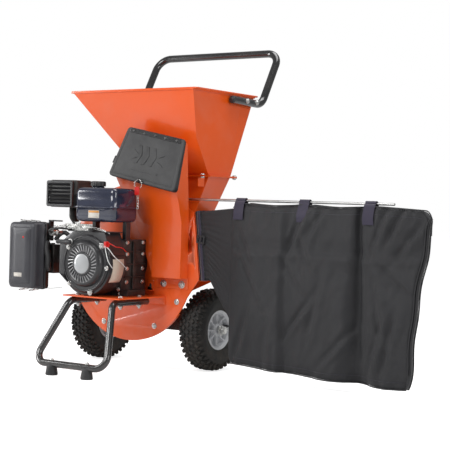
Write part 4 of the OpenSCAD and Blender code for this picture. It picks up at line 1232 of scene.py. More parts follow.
@dataclass
class Bodywork:
    """Rotor housing, hopper, platform, axle beam and their fixings."""

    crank_z: float = 340.0
    plate_y: float = 320.0
    bolt_ring: float = 224.0
    bolt_angles: tuple[float, ...] = (105, 140, 175, 210, 242, 298, 329)
    joint_z: float = 624.0

    def panels(self) -> None:
        """Eases the edges of the folded and cut plates."""
        for node, bevel in (("housing_front_plate", 1.0), ("housing_rear_plate", 1.0),
            ("housing_scroll", 0.5),
                            ("outlet_collar", 0.6), ("engine_platform", 1.0), ("lower_hopper", 0.9),
                            ("upper_hopper", 1.1)):
            softened(node, ORANGE, bevel, 3)
        softened("axle_beam", GLOSS_BLACK, 2.0, 3)
        dress(["axle"], ZINC)
        dress(["discharge_screen"], STEEL)

    def fixings(self) -> None:
        """Builds the flanged bolts of the housing and of the hopper's joint."""
        bolts = Draft("housing_bolts")
        for k, angle in enumerate(self.bolt_angles):
            a = math.radians(angle)
            x, z = self.bolt_ring * math.cos(a), self.crank_z + self.bolt_ring * math.sin(a)
            bolts.add(hex_head(13, 5.2, 9.5),
                frame_matrix((x, self.plate_y, z), (0, -1, 0), (math.sin(k), 0, 1)))
            bolts.add(lathe([(4, -4), (4, 2.6), (3.2, 3.4), (0, 3.4)], 18),
                frame_matrix((x, self.plate_y - 3.6, z), (0, -1, 0)))
            bolts.add(hex_head(13, 6.0, 9.5),
                frame_matrix((x, self.plate_y + 8, z), (0, 1, 0), (math.cos(k), 0, 1)))
        low, high = node_box("lower_hopper")
        for x in (low.x + 6.4, (low.x + high.x) / 2, high.x - 6.4):
            for y in (low.y + 6.4, high.y - 6.4):
                bolts.add(hex_head(10, 4.2, 8),
                    frame_matrix((x, y, self.joint_z + 2.5), (0, 0, 1), (x, y, 0)))
                bolts.add(hex_head(10, 5.0, 8),
                    frame_matrix((x, y, self.joint_z - 2.5), (0, 0, -1), (x, 1, 0)))
        bolts.piece("frame", ZINC, bevel=0.25, replaces=["hopper_bolts"])

    def seams(self) -> None:
        """Builds the rolled rim, the weld beads, the belly strip and the lifting bracket."""
        low, high = node_box("upper_hopper")
        rim = [(low.x + 1.5, low.y + 1.5), (high.x - 1.5, low.y + 1.5), (high.x - 1.5, high.y - 1.5),
               (low.x + 1.5, high.y - 1.5)]
        loop = [Vector((x, y, high.z - 1.6)) for x, y in rim]
        path = []
        for a, b, c in zip(loop[-1:] + loop[:-1], loop, loop[1:] + loop[:1]):
            u, w = (a - b).normalized(), (c - b).normalized()
            path += [b + u * 7 * (1 - math.sin(t)) + w * 7 * (1 - math.cos(t)) for t in
                     [math.pi / 2 * k / 6 for k in range(7)]]
        rings = tube(path + path[:1], 2.4, 12, capped=False)
        Draft("hopper_rim_roll").add(rings).piece("frame", ORANGE)
        beads = Draft("weld_beads")
        n = 46
        for x0, z0, x1, z1 in ((-10, 626.8, 260, 626.8),):
            path = [Vector((x0 + (x1 - x0) * k / n, 379.2, z0 + (z1 - z0) * k / n)) for k in range(n + 1)]
            beads.add(tube(path, lambda t: 1.5 + 0.5 * math.sin(t * 150), 8))
        beads.piece("frame", ORANGE)
        rim_band = Draft("housing_edge_band")
        r = 250.6
        arc = [Vector((r * math.cos(a), 327.0, self.crank_z + r * math.sin(a)))
               for a in [math.radians(96 + (322 - 96) * k / 80) for k in range(81)]]
        rings = []
        for p in arc:
            out = Vector((p.x, 0, p.z - self.crank_z)).normalized()
            rings.append([p + out * a + Vector((0, b, 0)) for a,
                b in ((-1.6, -2.8), (0.6, -2.8), (0.6, 6), (-1.6, 6))])
        rim_band.add(loft(rings)).piece("frame", ORANGE, bevel=0.4)
        bracket = Draft("guard_bracket")
        place = frame_matrix((88, 319.6, 268), (0, -1, 0))
        outline = [(-12, -14), (12, -14), (12, 14), (7, 19), (-7, 19), (-12, 14)]
        bracket.add(prism(outline, 3.0), place)
        bracket.add(block((-12, -14, 3), (12, -11, 16)), place)
        bracket.piece("frame", ORANGE, bevel=0.7)
        # The bracket's slot is a thin black sheet laid on its face: painted shade in place of the hole.
        slot = Draft("bracket_slot_shade")
        slot.add(prism(rounded_outline(8, 16, 3.9), 0.5), place @ Matrix.Translation((0, 1, 2.9)))
        slot.piece("frame", BLACK_PLASTIC)
        lugs = Draft("hopper_stays")
        for x in (-4, 254):
            lugs.add(block((x - 1.5, 330, 590), (x + 1.5, 362, 618)))
        lugs.piece("frame", ORANGE, bevel=0.6)

    def build(self) -> None:
        """Builds the bodywork."""
        self.panels()
        self.fixings()
        self.seams()


# ---- Feed chute and its rubber cover ----

@dataclass
class Chute:
    """The side chute, its rubber cover, and the tag on its ring."""

    centre: tuple[float, float, float] = (130.0, 256.0, 669.0)
    roll: float = 11.0
    lean: float = 12.5
    wide: float = 261.0
    high: float = 166.0
    taper: float = 0.069
    lift: float = 14.3
    thick: float = 8.0
    skirt: float = 11.0

    def spot(self, a: float, b: float, lift: float) -> Vector:
        """A point over the mouth's plane.

        Args:
            a: Distance along its lower edge from the middle.
            b: Distance up from the middle.
            lift: Distance out of the mouth.

        Returns:
            The point in the machine frame.
        """
        r, t = math.radians(self.roll), math.radians(self.lean)
        a = a * (1 - self.taper * b / 75.0)
        x, z = a * math.cos(r) + b * math.sin(r), b * math.cos(r) - a * math.sin(r)
        return Vector(self.centre) + Vector((x, z * math.sin(t) - lift * math.cos(t),
            z * math.cos(t) + lift * math.sin(t)))

    def ring(self, inset: float, lift: float, round_off: float = 13.0, dip: float = 0.0) -> list[Vector]:
        """A rounded ring parallel to the cover's outline.

        Args:
            inset: Distance inside the outline.
            lift: Its height over the mouth.
            round_off: Radius of the outline's corners.
            dip: How far the ring hangs below lift, away from the hinge.

        Returns:
            The ring's points.
        """
        points = []
        for a, b in rounded_outline(self.wide - 2 * inset, self.high - 2 * inset, max(1.0, round_off - inset),
            8):
            hang = min(1.0, max(0.0, (self.high / 2 - 16 - b) / 12))
            points.append(self.spot(a, b, lift - dip * hang))
        return points

    def cover(self) -> None:
        """Builds the cover: a thick pad with a lip, a sunk border and a skirt on three sides."""
        top = self.lift + self.thick
        rings = [self.ring(60, self.lift), self.ring(11.5, self.lift), self.ring(6.2, self.lift + 0.2),
                 self.ring(4.9, self.lift + 1.4, dip=2.0), self.ring(4.7, self.lift + 1.4, dip=self.skirt),
                     self.ring(3.8, self.lift + 0.8, dip=self.skirt),
                 self.ring(0.8, self.lift + 0.8, dip=self.skirt),
                     self.ring(0, self.lift + 1.8, dip=self.skirt),
                 self.ring(0, top - 3.0), self.ring(0.9, top - 1.0), self.ring(2.6, top),
                     self.ring(11, top + 0.1),
                 self.ring(12, top - 1.1), self.ring(13.4, top - 1.3), self.ring(14.6, top - 0.3),
                     self.ring(20, top - 0.1),
                 self.ring(40, top + 0.8), self.ring(62, top + 1.2), self.ring(78, top + 1.3)]
        pad = Draft("cover_pad").add(loft(rings)).piece("cover", RUBBER, replaces=["chute_cover"])
        pad.modifiers.new("soft", "SUBSURF").levels = 1
        pad.modifiers["soft"].render_levels = 1
        marks = Draft("cover_marks")
        for k in range(3):
            a = -42 + 30 * k
            outline = [(a - 9, -26), (a + 3, -26), (a + 15, 4), (a + 3, 34), (a - 9, 34), (a + 3, 4)]
            loops = []
            for grow, lift in ((0.0, top - 0.6), (0.0, top + 1.9), (0.9, top + 2.5)):
                cx = sum(p[0] for p in outline) / 6
                cy = sum(p[1] for p in outline) / 6
                loops.append([self.spot(p[0] + (cx - p[0]) * grow * 0.05, p[1] + (cy - p[1]) * grow * 0.05,
                    lift) for p in outline])
            marks.add(loft(loops))
        marks.add(loft([[self.spot(a, b, l) for a, b in ((-52, -48), (52, -48), (52, -42), (-52, -42))]
                        for l in (top - 0.6, top + 1.6)]))
        marks.piece("cover", RUBBER, bevel=0.5)
        hook = self.spot(-6.5, -76, top - 0.4)
        stud = Draft("cover_stud")
        stud.add(lathe([(0, -2), (6.5, -2), (6.5, 0.4), (5.6, 1.2), (2.2, 1.6), (1.6, 8.6), (4, 9),
            (4.2, 10.4), (3.4, 11.2),
                        (0, 11.4)], 28), frame_matrix(hook, (0, -1, 0)))
        stud.piece("cover", GLOSS_BLACK)

    def hinge(self) -> None:
        """Builds the clamp strip along the cover's upper edge, with its rivets."""
        strip = Draft("hinge_strip")
        loops = [[self.spot(a, b, l) for b,
            l in ((66, self.lift + 7.4), (80, self.lift + 7.4), (80.5, self.lift + 9.6),
                                                  (66, self.lift + 9.6))] for a in (-112, 112)]
        strip.add(loft(loops)).piece("cover", GLOSS_BLACK, bevel=0.6)
        rivets = Draft("hinge_rivets")
        out = (self.spot(0, 0, 1) - self.spot(0, 0, 0)).normalized()
        for a in (-96, -48, 0, 48, 96):
            rivets.add(lathe([(0, -1), (4.6, -1), (4.6, 0.4), (3.8, 1.8), (2, 2.7), (0, 3.0)], 20),
                       frame_matrix(self.spot(a, 73, self.lift + 9.5), out))
        rivets.piece("cover", GLOSS_BLACK)
        keeper = Draft("cover_keeper")
        keeper.add(loft([[self.spot(a, b, l) for b,
            l in ((-40, 1), (-16, 1), (-16, 3), (-40, 3))] for a in (-151, -128)]))
        keeper.piece("frame", GLOSS_BLACK, bevel=0.6)

    def chain(self) -> None:
        """Builds the split ring, the tag and a chain of links with Geometry Nodes."""
        low, high = node_box("tag_ring")
        middle = Vector(((low.x + high.x) / 2, (low.y + high.y) / 2, high.z - 16.0))
        ring = Draft("split_ring")
        path = []
        for k in range(73):
            a = 2 * math.pi * k / 36
            path.append(middle + Vector((14.4 * math.sin(a), -0.8 + 1.6 * k / 72, 14.4 * math.cos(a))))
        ring.add(tube(path, 0.85, 8)).piece("tag", ZINC)
        first = middle.z - 20.5
        links = int((first - low.z) / 8.6)
        p = Pattern("tag_chain", {"Links": ("NodeSocketInt", links), "Pitch": ("NodeSocketFloat", 8.6),
                                  "Wire radius": ("NodeSocketFloat", 1.0)})
        line = p.node("GeometryNodeCurvePrimitiveCircle", {"mode": "RADIUS"},
            {"Resolution": 16, "Radius": 3.6})
        oval = p.node("GeometryNodeTransform", {}, {"Geometry": line.outputs[0], "Scale": (1.0, 1.5, 1.0),
                                                    "Rotation": (math.pi / 2, 0.0, 0.0)})
        wire = p.node("GeometryNodeCurvePrimitiveCircle", {"mode": "RADIUS"}, {"Resolution": 8,
                                                                               "Radius": p.input("Wire radius")})
        link = p.node("GeometryNodeCurveToMesh", {},
            {"Curve": oval.outputs[0], "Profile Curve": wire.outputs[0]})
        step = p.node("ShaderNodeCombineXYZ", {}, {})
        down = p.node("ShaderNodeMath", {"operation": "MULTIPLY"}, {0: p.input("Pitch"), 1: -1.0})
        p.tree.links.new(down.outputs[0], step.inputs["Z"])
        row = p.node("GeometryNodeMeshLine", {"mode": "OFFSET", "count_mode": "TOTAL"}, {
            "Count": p.input("Links"), "Start Location": tuple((middle.x, middle.y, first)),
                "Offset": step.outputs[0]})
        index = p.node("GeometryNodeInputIndex")
        turn = p.node("ShaderNodeMath", {"operation": "MULTIPLY"}, {0: index.outputs[0], 1: math.pi / 2})
        spin = p.node("ShaderNodeCombineXYZ")
        p.tree.links.new(turn.outputs[0], spin.inputs["Z"])
        copies = p.node("GeometryNodeInstanceOnPoints", {},
            {"Points": row.outputs[0], "Instance": link.outputs[0],
                                                             "Rotation": spin.outputs[0]})
        p.finish("tag_chain", copies.outputs[0], ZINC, "tag", replaces=["tag_ring"])
        low, high = node_box("red_tag")
        w, h = high.x - low.x, high.z - low.z
        tag = Draft("danger_tag")
        face = frame_matrix(((low.x + high.x) / 2, high.y - 0.2, (low.z + high.z) / 2), (0, -1, 0))
        tag.add(prism(rounded_outline(w, h, 4), 1.4), face)
        tag.piece("tag", RED_PLASTIC, bevel=0.4, replaces=["red_tag"])

    def bolts(self) -> None:
        """Builds the two large bolts under the throat."""
        bolts = Draft("throat_bolts")
        for x in (140.0, 212.0):
            bolts.add(hex_head(17, 7.5, 12), frame_matrix((x, 317.2, 280.0), (0, -1, 0), (0.3, 0, 1)))
            bolts.add(lathe([(5, -4), (5, 9.6), (4.2, 10.6), (0, 10.6)], 22),
                frame_matrix((x, 317.2, 280.0), (0, -1, 0)))
            bolts.add(hex_head(17, 7.0, 0), frame_matrix((x, 324.2, 280.0), (0, 1, 0), (0.3, 0, 1)))
        bolts.piece("frame", ZINC, bevel=0.35, replaces=["chute_bolts"])

    def build(self) -> None:
        """Builds the chute, its cover and its tag."""
        softened("feed_chute", ORANGE, 1.2, 3)
        self.cover()
        self.hinge()
        self.chain()
        self.bolts()


# ---- Collection bag ----

@dataclass
class Bag:
    """The woven bag that hangs from its rod, with neck, hems, zip and straps."""

    left: float = 394.0
    right: float = 1054.0
    top: float = 541.0
    low: float = 26.0
    front: float = 309.0
    back: float = 401.0
    rod_y: float = 333.0
    rod_z: float = 549.0
    columns: int = 86
    rows: int = 49
    gusset: int = 6
    straps: tuple[float, float, float] = (404.0, 631.6, 852.7)

    def top_edge(self, x: float) -> float:
        """Height of the top edge: held up at the straps, hanging between them, dropping to the right."""
        sag = 0.0
        held = [s + 17 for s in self.straps]
        for a, b in zip(held, held[1:]):
            if a < x < b:
                sag = 5.5 * math.sin(math.pi * (x - a) / (b - a))
        if x > held[-1]:
            t = (x - held[-1]) / (self.right - held[-1])
            sag = 9 * t + 20 * max(0.0, t - 0.86) / 0.14 * max(0.0, t - 0.86) / 0.14
        if x < held[0]:
            t = (held[0] - x) / (held[0] - self.left)
            sag = 15 * t * t
        return self.top - sag

    def low_edge(self, x: float) -> float:
        """Height of the lower hem."""
        t = (x - self.left) / (self.right - 55 - self.left)
        return self.low + 24 * max(0.0, 1 - t) ** 1.4 + 9 * max(0.0, t - 0.7) + 1.5 * math.sin(x / 31.0)

    def right_edge(self, v: float) -> float:
        """Where the right end stands at a share of the height."""
        return self.right - 55 * (1 - v) ** 1.15 - 10 * math.sin(math.pi * min(1.0,
            v * 1.1)) ** 2 + 2.5 * math.sin(v * 19)

    def fold(self, x: float, z: float, v: float) -> float:
        """How far the front cloth is pushed in by its folds.

        Args:
            x: Position along the bag.
            z: Height.
            v: Share of the height.

        Returns:
            Depth in millimetres, negative where the cloth bulges out.
        """
        def ridge(d: float, w: float) -> float:
            return math.exp(-(d / w) ** 2)
        first = x - (587 + 4 * math.sin(z / 60.0) - 12 * (1 - v))
        depth = (17.0 / (1 + math.exp(-first / 2.2)) * math.exp(-max(0.0,
            first) / 70.0)) * (0.55 + 0.45 * (1 - v))
        middle = 839 - 4 * (1 - v)
        wide = 9 + 32 * (1 - v) ** 1.3
        depth += 36 * ridge(x - middle, wide) * (0.75 + 0.25 * (1 - v))
        depth += 7 * ridge(x - (866 + 20 * (1 - v)), 12 + 12 * (1 - v)) * 0.4
        crease = z - (402 + 3 * math.sin(x / 80.0))
        depth += 4.6 * ridge(crease, 5) + 3.2 * ridge(crease - 16, 12) - 3.6 * ridge(crease + 14, 12)
        for px, pz, slope, length, amount in (
                (628, 470, 0.45, 90, 7.0), (660, 395, -0.5, 70, 6.0), (612, 330, -0.75, 90, 5.0),
                (700, 500, 0.7, 70, 5.0), (640, 210, 0.8, 110, 7.0), (700, 250, 0.25, 120, 4.0),
                (770, 130, 0.9, 110, 6.0), (905, 480, 0.35, 90, 6.5), (960, 500, 0.55, 90, 7.5),
                (1000, 450, 0.75, 90, 7.0), (905, 235, -0.2, 80, 6.0), (960, 330, -1.2, 120, 6.0),
                (450, 400, -0.5, 80, 3.5), (470, 300, -0.55, 110, 3.5), (430, 130, 0.3, 90, 6.0),
                (520, 110, 0.15, 90, 3.5), (890, 120, 0.3, 90, 5.0), (940, 150, 0.2, 120, 5.0)):
            across = (x - px) - slope * (z - pz)
            along = (z - pz) + slope * (x - px)
            depth += 1.7 * amount * ridge(along, length) * (ridge(across, 11) - 0.7 * ridge(across - 20, 15))
        body = Vector((x / 120.0, z / 230.0, 1.3))
        depth += 8 * noise.noise(body) + 5.0 * noise.noise(Vector((x / 48.0 + z / 170.0, z / 150.0, 4.1)))
        depth += 5.0 * (abs(noise.noise(Vector((x / 34.0 - z / 90.0, z / 62.0, 7.7)))) - 0.2)
        depth += 1.3 * noise.noise(Vector((x / 11.0, z / 15.0, 2.2)))
        near_top = math.exp(-(1 - v) / 0.06)
        depth += 3.2 * near_top * math.sin(x / 6.1 + 2.0 * math.sin(x / 23.0))
        return depth

    def thickness_back(self, s: float) -> float:
        """Where the back panel stands at a share of the length."""
        return self.back - 38 * max(0.0, (s - 0.72) / 0.28) ** 1.3

    def ring(self, s: float) -> list[Vector]:
        """One ring of the bag's body.

        Args:
            s: Share of its length.

        Returns:
            Points up the front, over the top, down the back and along the bottom.
        """
        n, g = self.rows, self.gusset
        points = []
        back = self.thickness_back(s)
        ease = min(1.0, s / 0.03, (1 - s) / 0.02 + 0.25)
        front, rear = [], []
        for i in range(n + 1):
            v = i / n
            x = self.left + s * (self.right_edge(v) - self.left)
            lo, hi = self.low_edge(x), self.top_edge(x)
            z = lo + (hi - lo) * v
            edge = math.exp(-v * 26) + math.exp(-(1 - v) * 26) + 0.7 * math.exp(-s * 40) + 0.6 * math.exp(-(1 - s) * 45)
            belly = math.sin(math.pi * v) ** 0.6 * math.sin(math.pi * min(1.0, max(0.0, s))) ** 0.35
            push = self.fold(x, z, v) * ease
            front.append(Vector((x, self.front + 5 + 9 * edge - 4 * belly + max(-9.0, push), z)))
            swell = 6 * noise.noise(Vector((x / 90.0, z / 200.0, 9.0))) + 3 * noise.noise(Vector((x / 35.0,
                z / 120.0, 5.0)))
            rear.append(Vector((x, back - 4 - 9 * edge + 3 * belly + swell * ease, z)))
        points += front
        for k in range(1, g):
            t = k / g
            points.append(front[-1].lerp(rear[-1], t) + Vector((0, 0, 2.0 - 9 * math.sin(math.pi * t))))
        points += rear[::-1]
        for k in range(1, g):
            t = k / g
            points.append(rear[0].lerp(front[0], t) + Vector((0, 0, -2.0 + 5 * math.sin(math.pi * t))))
        return points

    def neck_ring(self, t: float) -> list[Vector]:
        """One ring of the neck, from the collar at 0 to the body's end wall at 1.

        Args:
            t: Share of the way.

        Returns:
            Points in the same order as a body ring.
        """
        n, g = self.rows, self.gusset
        tilt = math.radians(7.0)
        points = []
        first = self.ring(0.0)
        u = 7 + 33 * min(1.0, t / 0.35)
        half_y, half_v = 55.6, 106.6
        gather = 1.6 * math.exp(-((t - 0.1) / 0.12) ** 2)
        grow = max(0.0, (t - 0.35) / 0.65)
        blend = grow * grow * (3 - 2 * grow)

        def collar(y: float, v: float, k: int) -> Vector:
            ruffle = (1.1 * math.sin(k * 1.9) + 0.6 * math.sin(k * 0.77 + 1.0)) * (0.25 + 0.75 * min(1.0,
                t / 0.3)) - gather
            y = y + (ruffle if y > 375 else -ruffle)
            return Vector((263.3 + u * math.cos(tilt) - v * math.sin(tilt), y,
                403.2 + u * math.sin(tilt) + v * math.cos(tilt)))
        ring = [collar(375 - half_y, half_v * (2 * i / n - 1), i) for i in range(n + 1)]
        ring += [collar(375 - half_y + 2 * half_y * k / g, half_v, 60 + k) for k in range(1, g)]
        ring += [collar(375 + half_y, half_v * (1 - 2 * i / n), 80 + i) for i in range(n + 1)]
        ring += [collar(375 + half_y - 2 * half_y * k / g, -half_v, 150 + k) for k in range(1, g)]
        for k, (a, b) in enumerate(zip(ring, first)):
            goal = Vector((b.x, b.y, max(b.z, 176 + (b.z - 50) * 0.735)))
            points.append(a.lerp(goal, blend))
        return points

    def shell(self) -> bpy.types.Object:
        """Builds the cloth: neck, end wall, body and end gusset as one open shell with a woven UV map.

        Returns:
            The cloth.
        """
        neck = [self.neck_ring(k / 16) for k in range(17)]
        body = [self.ring(k / self.columns) for k in range(self.columns + 1)]
        wall = [[a.lerp(b, t) for a, b in zip(neck[-1], body[0])] for t in (0.35, 0.7)]
        rings = neck + wall + body
        m = len(body[0])
        points = [p for r in rings for p in r]
        faces = [[r * m + i, r * m + (i + 1) % m, (r + 1) * m + (i + 1) % m, (r + 1) * m + i]
                 for r in range(len(rings) - 1) for i in range(m)]
        base = (len(rings) - 1) * m
        n, g = self.rows, self.gusset
        previous = [base + i for i in range(n + 1)]
        rear = [base + n + g + n - i for i in range(n + 1)]
        for k in range(1, g):
            column = []
            for i in range(n + 1):
                if i == n:
                    column.append(base + n + k)
                elif i == 0:
                    column.append(base + m - k)
                else:
                    a, b = points[previous[i] if k == 0 else base + i], points[rear[i]]
                    p = a.lerp(b, k / g) + Vector((3.5 * math.sin(math.pi * k / g) + 1.5 * noise.noise(Vector((k, i / 5.0, 3.0))), 0, 0))
                    points.append(p)
                    column.append(len(points) - 1)
            faces += [[previous[i], previous[i + 1], column[i + 1], column[i]] for i in range(n)]
            previous = column
        faces += [[previous[i], previous[i + 1], rear[i + 1], rear[i]] for i in range(n)]
        mesh = bpy.data.meshes.new("bag_cloth")
        mesh.from_pydata([at(*p) for p in points], [], faces)
        bm = bmesh.new()
        bm.from_mesh(mesh)
        bmesh.ops.remove_doubles(bm, verts=bm.verts, dist=1e-5)
        bmesh.ops.recalc_face_normals(bm, faces=bm.faces)
        sheet = bm.loops.layers.uv.new("cloth")
        for f in bm.faces:
            side = abs(f.normal.x) > 0.75
            for loop in f.loops:
                c = loop.vert.co
                loop[sheet].uv = (c.y if side else c.x, c.z if abs(f.normal.z) < 0.75 else c.y)
        bm.to_mesh(mesh)
        bm.free()
        self.area = sum(p.area for p in mesh.polygons)
        LOG.info("bag cloth area %.3f m2", self.area)
        obj = bpy.data.objects.new("bag_cloth", mesh)
        bpy.context.scene.collection.objects.link(obj)
        skin = obj.modifiers.new("surface", "SUBSURF")
        skin.levels = skin.render_levels = 1
        wall_mod = obj.modifiers.new("cloth", "SOLIDIFY")
        wall_mod.thickness, wall_mod.offset = 1.0 * MM, -1.0
        return settle(obj, "frame", NYLON, replaces=["bag"])

    def hems(self) -> list[bpy.types.Object]:
        """Builds the piped seams round both panels, the neck hem and its binding.

        Returns:
            The pieces.
        """
        n, g = self.rows, self.gusset
        rings = [self.ring(k / self.columns) for k in range(self.columns + 1)]
        front = [r[n] + Vector((0, -1.0, 0.6)) for r in rings] + [rings[-1][i] + Vector((1.0, -1.0,
            0)) for i in range(n - 1, 0, -1)]
        front += [r[0] + Vector((0, -1.0, -0.4)) for r in reversed(rings)]
        rear = [r[n + g] + Vector((0, 1.0, 0.6)) for r in rings] + [rings[-1][n + g + i] + Vector((1.0, 1.0,
            0)) for i in range(1, n)]
        rear += [r[n + g + n] + Vector((0, 1.0, -0.4)) for r in reversed(rings)]
        seams = Draft("bag_piping")
        seams.add(tube(front, 1.9, 8)).add(tube(rear, 1.9, 8))
        made = [seams.piece("frame", NYLON)]
        ring = self.neck_ring(0.0)
        hem = Draft("bag_neck_hem")
        hem.add(tube(ring + ring[:1], 2.0, 8, capped=False))
        made.append(hem.piece("frame", NYLON))
        return made

    def neck_strap(self) -> list[bpy.types.Object]:
        """Builds the webbing that clamps the neck on the collar, with its buckle.

        Returns:
            The pieces.
        """
        inner, outer = self.neck_ring(0.05), self.neck_ring(0.17)
        middle = sum(inner, Vector()) / len(inner)
        web = Draft("bag_neck_strap")
        rings = []
        for base in (inner, outer):
            centre = sum(base, Vector()) / len(base)
            for grow in (1.2, 3.2) if base is inner else (3.2, 1.2):
                ring = []
                for p in base:
                    way = Vector((0, p.y - centre.y, p.z - centre.z))
                    way = Vector((0, math.copysign(1, way.y) if abs(abs(way.y) - 55.6) < 6 else 0,
                                  math.copysign(1, way.z) if abs(abs(way.z) - 106) < 8 else 0))
                    ring.append(p + way.normalized() * grow if way.length else p)
                rings.append(ring)
        web.add(loft(rings + rings[:1], capped=False))
        made = [web.piece("frame", TAPE)]
        buckle = Draft("neck_buckle")
        face = frame_matrix((middle.x + 8, middle.y - 59.5, middle.z + 20), (0, -1, 0), (0.12, 0, 1))
        for w, h, depth in ((30, 26, 4.0),):
            outline = rounded_outline(w, h, 4)
            inside = rounded_outline(w - 9, h - 10, 2)
            rings = [[face @ Vector((x, y, z)) for x, y in o] for o, z in
                     ((outline, 0), (outline, depth), (inside, depth), (inside, 0), (outline, 0))]
            buckle.add(loft(rings, capped=False))
        buckle.add(block((-2, -13, 0.5), (2, 13, 3.2)), face)
        made.append(buckle.piece("frame", BLACK_PLASTIC, bevel=0.6))
        return made

    def straps_up(self) -> list[bpy.types.Object]:
        """Builds the three hook-and-loop straps over the rod, with stitched patches.

        Returns:
            The pieces.
        """
        made = []
        for k, x in enumerate(self.straps):
            s = (x + 17 - self.left) / (self.right - self.left)
            face = self.ring(min(1.0, s))
            low = next(p for p in face[:self.rows + 1] if p.z > self.rod_z - 68)
            high = face[self.rows]
            path = [(low.y - 2.4, low.z), (low.y - 2.6, low.z + 18), (high.y - 6.0, high.z - 16),
                (high.y - 2.0, high.z + 2)]
            path += [(self.rod_y + 7.4 * math.cos(a), self.rod_z + 7.4 * math.sin(a))
                     for a in [math.radians(190 - 20 * j) for j in range(11)]]
            path += [(self.rod_y + 9, self.rod_z - 8), (self.rod_y + 10, self.rod_z - 13)]
            curve = [(p.x, p.y) for p in smooth_path([(y, z, 0) for y, z in path], 3)]
            rings = []
            for j, (y, z) in enumerate(curve):
                a, b = curve[max(0, j - 1)], curve[min(len(curve) - 1, j + 1)]
                way = Vector((b[0] - a[0], b[1] - a[1])).normalized()
                side = Vector((-way.y, way.x)) * 0.9
                wob = 0.8 * math.sin(j * 0.7 + k)
                rings.append([Vector((x + wob, y + side.x, z + side.y)),
                    Vector((x + 35 + wob, y + side.x, z + side.y)),
                              Vector((x + 35 + wob, y - side.x, z - side.y)),
                                  Vector((x + wob, y - side.x, z - side.y))])
            made.append(Draft(f"bag_strap_{k + 1}").add(loft(rings)).piece(
                "frame", TAPE, bevel=0.35, replaces=["bag_straps"] if k == 0 else []))
        return made

    def zip(self) -> list[bpy.types.Object]:
        """Builds the zip down the right end: tape, coil teeth by Geometry Nodes, slider and pull.

        Returns:
            The pieces.
        """
        n, g = self.rows, self.gusset
        last = self.ring(1.0)
        line = []
        for i in range(n, 3, -1):
            a, b = last[i], last[n + g + n - i]
            line.append(a.lerp(b, 0.35) + Vector((4.6, 0, 0)))
        tape = Draft("zip_tape")
        rings = [[p + Vector((0, y, 0)) + Vector((x, 0, 0)) for y,
            x in ((-9, -1.2), (9, -1.2), (9, 0.2), (-9, 0.2))] for p in line]
        tape.add(loft(rings))
        made = [tape.piece("frame", NYLON)]
        count = 150
        steps = []
        for k in range(count):
            f = k / (count - 1) * (len(line) - 1)
            i = min(len(line) - 2, int(f))
            steps.append(line[i].lerp(line[i + 1], f - i))
        p = Pattern("zip_teeth", {"Tooth": ("NodeSocketVector", (1.6, 5.0, 1.5)),
            "Count": ("NodeSocketInt", count)})
        curve = p.node("GeometryNodeCurvePrimitiveLine")
        tooth = p.node("GeometryNodeMeshCube", {}, {"Size": p.input("Tooth")})
        start, end = steps[0], steps[-1]
        top, bottom = tuple(start), tuple(end)
        curve.inputs["Start"].default_value, curve.inputs["End"].default_value = top, bottom
        even = p.node("GeometryNodeResampleCurve", {}, {"Curve": curve.outputs[0]})
        even.mode = "COUNT"
        p.tree.links.new(p.input("Count"), even.inputs["Count"])
        copies = p.node("GeometryNodeInstanceOnPoints", {},
            {"Points": even.outputs[0], "Instance": tooth.outputs[0]})
        teeth = p.finish("zip_teeth", copies.outputs[0], BLACK_PLASTIC, "frame", flat=True)
        per = len(teeth.data.vertices) // count
        straight = [start.lerp(end, k / (count - 1)) for k in range(count)]
        for i, vertex in enumerate(teeth.data.vertices):
            k = min(count - 1, i // per)
            vertex.co += (steps[k] - straight[k]) * MM + Vector((0.6 * MM, (0.7 if k % 2 else -0.7) * MM, 0))
        made.append(teeth)
        slider = Draft("zip_slider")
        p0 = line[2] + Vector((2.2, 0, 0))
        slider.add(loft([[p0 + Vector((x, y * w, z)) for x,
            y in ((-1.5, -4.5), (-1.5, 4.5), (2.2, 4.0), (2.2, -4.0))]
                         for z, w in ((-7, 0.7), (-2, 1.0), (5, 0.9))]))
        slider.add(tube([p0 + Vector((2.6, 0, 3)), p0 + Vector((4.6, -1, -2)), p0 + Vector((4.4, -2, -24)),
                         p0 + Vector((4.2, -2, -32))], lambda t: 1.3 + 1.5 * t, 8, flat=0.5))
        made.append(slider.piece("frame", BLACK_PLASTIC, bevel=0.4))
        return made

    def stitches(self) -> list[bpy.types.Object]:
        """Sets a row of stitches under the top hem and above the lower hem, by Geometry Nodes.

        Returns:
            The pieces.
        """
        made = []
        n = self.rows
        rings = [self.ring(k / self.columns) for k in range(2, self.columns - 1)]
        for name, row in (("top", n - 2), ("low", 2)):
            path = [r[row] + Vector((0, -0.5, 0)) for r in rings]
            p = Pattern("hem_stitches_" + name, {"Pitch": ("NodeSocketFloat", 6.0),
                                                 "Thread": ("NodeSocketFloat", 0.45)})
            points = p.node("GeometryNodeMeshLine", {"mode": "END_POINTS"}, {
                "Count": len(path), "Start Location": tuple(path[0]), "Offset": tuple(path[-1])})
            curve = p.node("GeometryNodeMeshToCurve", {}, {"Mesh": points.outputs[0]})
            even = p.node("GeometryNodeResampleCurve", {}, {"Curve": curve.outputs[0]})
            even.mode = "LENGTH"
            p.tree.links.new(p.input("Pitch"), even.inputs["Length"])
            thread = p.node("GeometryNodeMeshCylinder", {},
                {"Vertices": 6, "Radius": p.input("Thread"), "Depth": 4.0})
            lay = p.node("GeometryNodeTransform", {},
                {"Geometry": thread.outputs[0], "Rotation": (0.0, math.pi / 2, 0.0)})
            copies = p.node("GeometryNodeInstanceOnPoints", {},
                {"Points": even.outputs[0], "Instance": lay.outputs[0]})
            obj = p.finish("hem_stitches_" + name, copies.outputs[0], TAPE, "frame")
            xs = [q.x for q in path]
            for vertex in obj.data.vertices:
                x = (vertex.co.x - ORIGIN.x) / MM
                f = (x - xs[0]) / (xs[-1] - xs[0])
